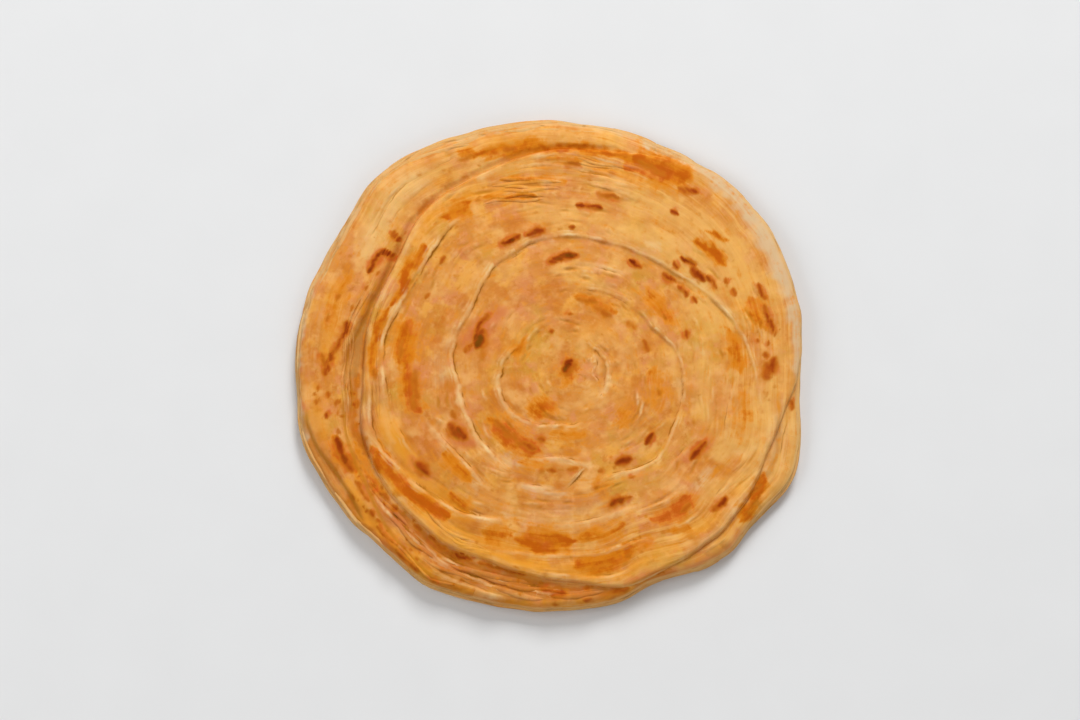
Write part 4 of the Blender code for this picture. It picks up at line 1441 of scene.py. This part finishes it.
def crustMaterial():
    look = Shading("brownedCrust")
    broad = look.noise(55.0)
    patches = look.noise(120.0, 3.0, 0.55, seed=1.7)
    blush = look.noise(150.0, 3.0, 0.55, seed=3.1)
    mottle = look.noise(380.0, 4.0, 0.6)
    flecks = look.noise(300.0, seed=5.3)
    ripples = look.noise(260.0, 3.0, 0.6, seed=7.9)
    way = look.attribute("way").outputs["Vector"]
    strands = look.noise(1.0, 3.0, 0.55, way)
    fibres = look.noise(2.7, 2.0, 0.5, way)
    strand = look.sum(strands, fibres, 0.3, -0.15)
    wash, gold, pale, dry = look.layers("bake")
    rose, hollowShade, umber, litYellow = look.layers("tone")
    brown, halo, drawnOut, wall = look.layers("spots")
    gap, cut, bold, shade = look.layers("folds")

    # the plain dough: soft patches, and strands where it is drawn out along the turns
    look.colour = look.blend(look.between(broad, 0.38, 0.62), crust["tanDeep"], crust["tan"])
    look.coat(look.noise(50.0, 4.0, 0.6, seed=11.3), 0.48, 0.7, 0.75, "rosy")
    look.coat(look.noise(60.0, 4.0, 0.6, seed=13.9), 0.48, 0.68, 0.8, "olive")
    look.coat(patches, 0.50, 0.66, 0.8, "yellow")
    look.coat(blush, 0.52, 0.68, 0.8, "blush")
    look.coat(flecks, 0.50, 0.72, 0.6, "light")
    look.coat(mottle, 0.46, 0.30, 0.65, "amber")
    look.coat(look.noise(85.0, 4.0, 0.6, seed=9.7), 0.5, 0.34, 0.85, "amber")
    look.coat(look.noise(100.0, seed=17.1), 0.52, 0.68, 0.7, "light")
    look.lay(look.times(look.between(strand, 0.48, 0.75), drawnOut, 0.7), "streakPale")
    look.lay(look.times(look.between(strand, 0.52, 0.28), drawnOut, 0.75), "streakGold")
    # tints of thicker, fatter and drier places, with painted light on the right and far sides and painted
    # shade in the hollows and between the leaves of the walls, each broken up by a noise
    # warm yellow, partly painted light on the right and far sides
    look.coat(look.sum(litYellow, patches, 0.8, -0.4), 0.05, 1.1, 0.75, "litYellow")
    look.coat(look.sum(umber, flecks, 0.8, -0.4), 0.05, 1.1, 0.8, "umber")
    look.coat(look.sum(gold, patches, 0.6, -0.3), 0.1, 0.95, 0.8, "gold")
    look.coat(look.sum(rose, flecks, 0.6, -0.3), 0.1, 0.95, 0.7, "rose")
    # painted shade in the hollows
    look.coat(look.sum(hollowShade, mottle, 0.4, -0.2), 0.1, 0.9, 0.7, "hollowShade")
    look.coat(look.sum(pale, flecks, 0.35, -0.17), 0.1, 1.1, 0.75, "cream")
    look.coat(look.sum(look.sum(dry, patches, 0.9, -0.45), strand, 0.5, -0.25), 0.1, 1.0, 0.85, "dry")
    look.coat(look.sum(wall, strand, 0.9, -0.5), 0.1, 0.9, 0.75, "wallPale")
    # painted shade in the gaps between the leaves of dough on the side walls
    leafGapShade = look.times(look.band(look.leaves(crust["leafThickness"]), 0.0, 0.07, 0.05), wall)
    look.lay(look.times(leafGapShade, look.between(patches, 0.42, 0.58), 0.55), "crease")
    # what the hot iron browned
    washing = look.sum(look.sum(wash, mottle, 1.5, -0.75), strand, -1.1, 0.55)
    redder = look.between(look.sum(blush, rose, 0.5), 0.52, 0.72)
    warm = look.blend(redder, crust["washGold"], crust["washRed"])
    look.coat(washing, 0.0, 0.5, 0.8, "washPale")
    look.coat(washing, 0.25, 0.85, 0.85, warm)
    look.coat(look.sum(washing, patches, 1.6, -0.8), 0.6, 1.25, 0.8, "washDeep")
    look.coat(look.sum(look.sum(halo, mottle, 0.7, -0.35), flecks, 0.4, -0.2), 0.12, 0.95, 0.85, "halo")
    browning = look.sum(look.sum(brown, mottle, 0.5, -0.25), flecks, -0.3, 0.15)
    dark = look.blend(look.between(patches, 0.5, 0.6), crust["darkBrown"], crust["oliveBrown"])
    look.coat(browning, 0.02, 0.5, 0.8, "speck")
    look.coat(browning, 0.25, 0.9, 0.85, "redBrown")
    look.coat(browning, 0.6, 1.3, 0.9, dark)
    # the lips of the folds with their painted highlight, and the painted shade of the thin dark lines under
    # them
    astray = look.sum(gap, ripples, 1.6, -0.8)
    lip = look.times(look.band(astray, 0.85, 0.5, 0.4), bold)
    shortBold = look.times(bold, look.between(patches, 0.45, 0.6))
    second = look.times(look.band(astray, 2.1, 0.3, 0.3), shortBold)
    broken = look.between(mottle, 0.3, 0.55, 0.45, 1.0)
    look.lay(look.times(look.sum(lip, second, 0.8), broken, 0.8), "cream")
    look.coat(look.times(look.band(astray, -0.12, 0.22, 0.2), cut), 0.0, 0.8, 0.85, "crease")
    # painted shade in the valleys of the folds, and the deepest painted shadow
    look.coat(shade, 0.05, 0.6, 0.6, "valley")
    look.coat(shade, 0.5, 1.2, 0.6, "shadow")
    look.links.new(look.colour, look.shader.inputs["Base Color"])

    low, high = crust["roughness"]
    look.links.new(look.between(mottle, 0.3, 0.7, low, high), look.shader.inputs["Roughness"])
    settings = {
        "Specular IOR Level": crust["specular"],
        "Specular Tint": crust["gloss"],
        "Subsurface Weight": crust["glow"],
        "Subsurface Radius": crust["glowColours"],
        "Subsurface Scale": crust["glowDepth"],
    }
    for title, value in settings.items():
        look.shader.inputs[title].default_value = value
    skin = look.bump(look.times(strand, drawnOut), 0.2, 0.0005)
    skin = look.bump(flecks, 0.25, 0.0006, skin)
    skin = look.bump(look.noise(1700.0), 0.15, 0.0002, skin)
    look.links.new(skin, look.shader.inputs["Normal"])
    return look.material


stage = {
    "floor": srgb(226, 227, 228),
    "floorShade": srgb(222, 223, 224),
    "floorSize": 6.0,
    "worldColour": (1.0, 0.985, 0.965, 1.0),
    "world": 0.34,
    # name, power, place, size
    "lights": (
        ("keyLight", 40.0, (0.42, 1.75, 1.37), 0.83),
        ("sideLight", 9.5, (-1.4, 0.15, 1.2), 1.1),
        ("nearLight", 7.0, (0.75, -1.5, 1.35), 1.3),
    ),
    "lens": 85.0,
    "frameWidth": 0.3867,
    "elevation": 81.5,
    "aim": (-0.0032, 0.0007, 0.005),
}


def setFloor():
    bpy.ops.mesh.primitive_plane_add(size=stage["floorSize"], location=(0, 0, 0))
    floor = bpy.context.object
    floor.name = "floor"
    look = Shading("paleFloor")
    shades = look.blend(look.noise(40.0, 2.0), stage["floor"], stage["floorShade"])
    look.links.new(shades, look.shader.inputs["Base Color"])
    look.shader.inputs["Roughness"].default_value = 0.85
    floor.data.materials.append(look.material)


def setLights():
    world = bpy.data.worlds.new("softStudio")
    world.use_nodes = True
    background = world.node_tree.nodes["Background"]
    background.inputs["Color"].default_value = stage["worldColour"]
    background.inputs["Strength"].default_value = stage["world"]
    bpy.context.scene.world = world
    for name, power, place, size in stage["lights"]:
        lamp = bpy.data.lights.new(name, "AREA")
        lamp.energy = power
        lamp.size = size
        light = bpy.data.objects.new(name, lamp)
        light.location = place
        light.rotation_euler = (-Vector(place)).to_track_quat("-Z", "Y").to_euler()
        bpy.context.scene.collection.objects.link(light)


def setCamera():
    scene = bpy.context.scene
    scene.view_settings.view_transform = "Standard"
    scene.view_settings.look = "None"
    camera = bpy.data.objects.new("camera", bpy.data.cameras.new("camera"))
    camera.data.lens = stage["lens"]
    camera.data.clip_start = 0.01
    away = stage["frameWidth"] * stage["lens"] / camera.data.sensor_width
    tilt = math.radians(stage["elevation"])
    camera.location = Vector(stage["aim"]) + away * Vector((0, -math.cos(tilt), math.sin(tilt)))
    camera.rotation_euler = (math.radians(90) - tilt, 0, 0)
    scene.collection.objects.link(camera)
    scene.camera = camera


for old in [thing for thing in bpy.data.objects if thing.name in ("Cube", "Light", "Camera")]:
    bpy.data.objects.remove(old, do_unlink=True)

crustLook = crustMaterial()
print("upper turns")
upperTurns = makeUpperTurns(crustLook)
print("lower turns")
lowerTurns = makeLowerTurns(crustLook)
ribbonsAlongTurns = ribbonTree(crustLook)
print("pleat strands")
pleatStrands = makePleatStrands(ribbonsAlongTurns, crustLook)
print("rim leaves")
rimLeaves = makeRimLeaves(ribbonsAlongTurns, crustLook)
pieces = [upperTurns, lowerTurns, pleatStrands, rimLeaves]

for piece in pieces:
    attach(piece, "root")
    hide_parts("paratha")
    print(piece.name, len(piece.data.loop_triangles) or len(piece.data.polygons))

print("stage")
setFloor()
setLights()
setCamera()
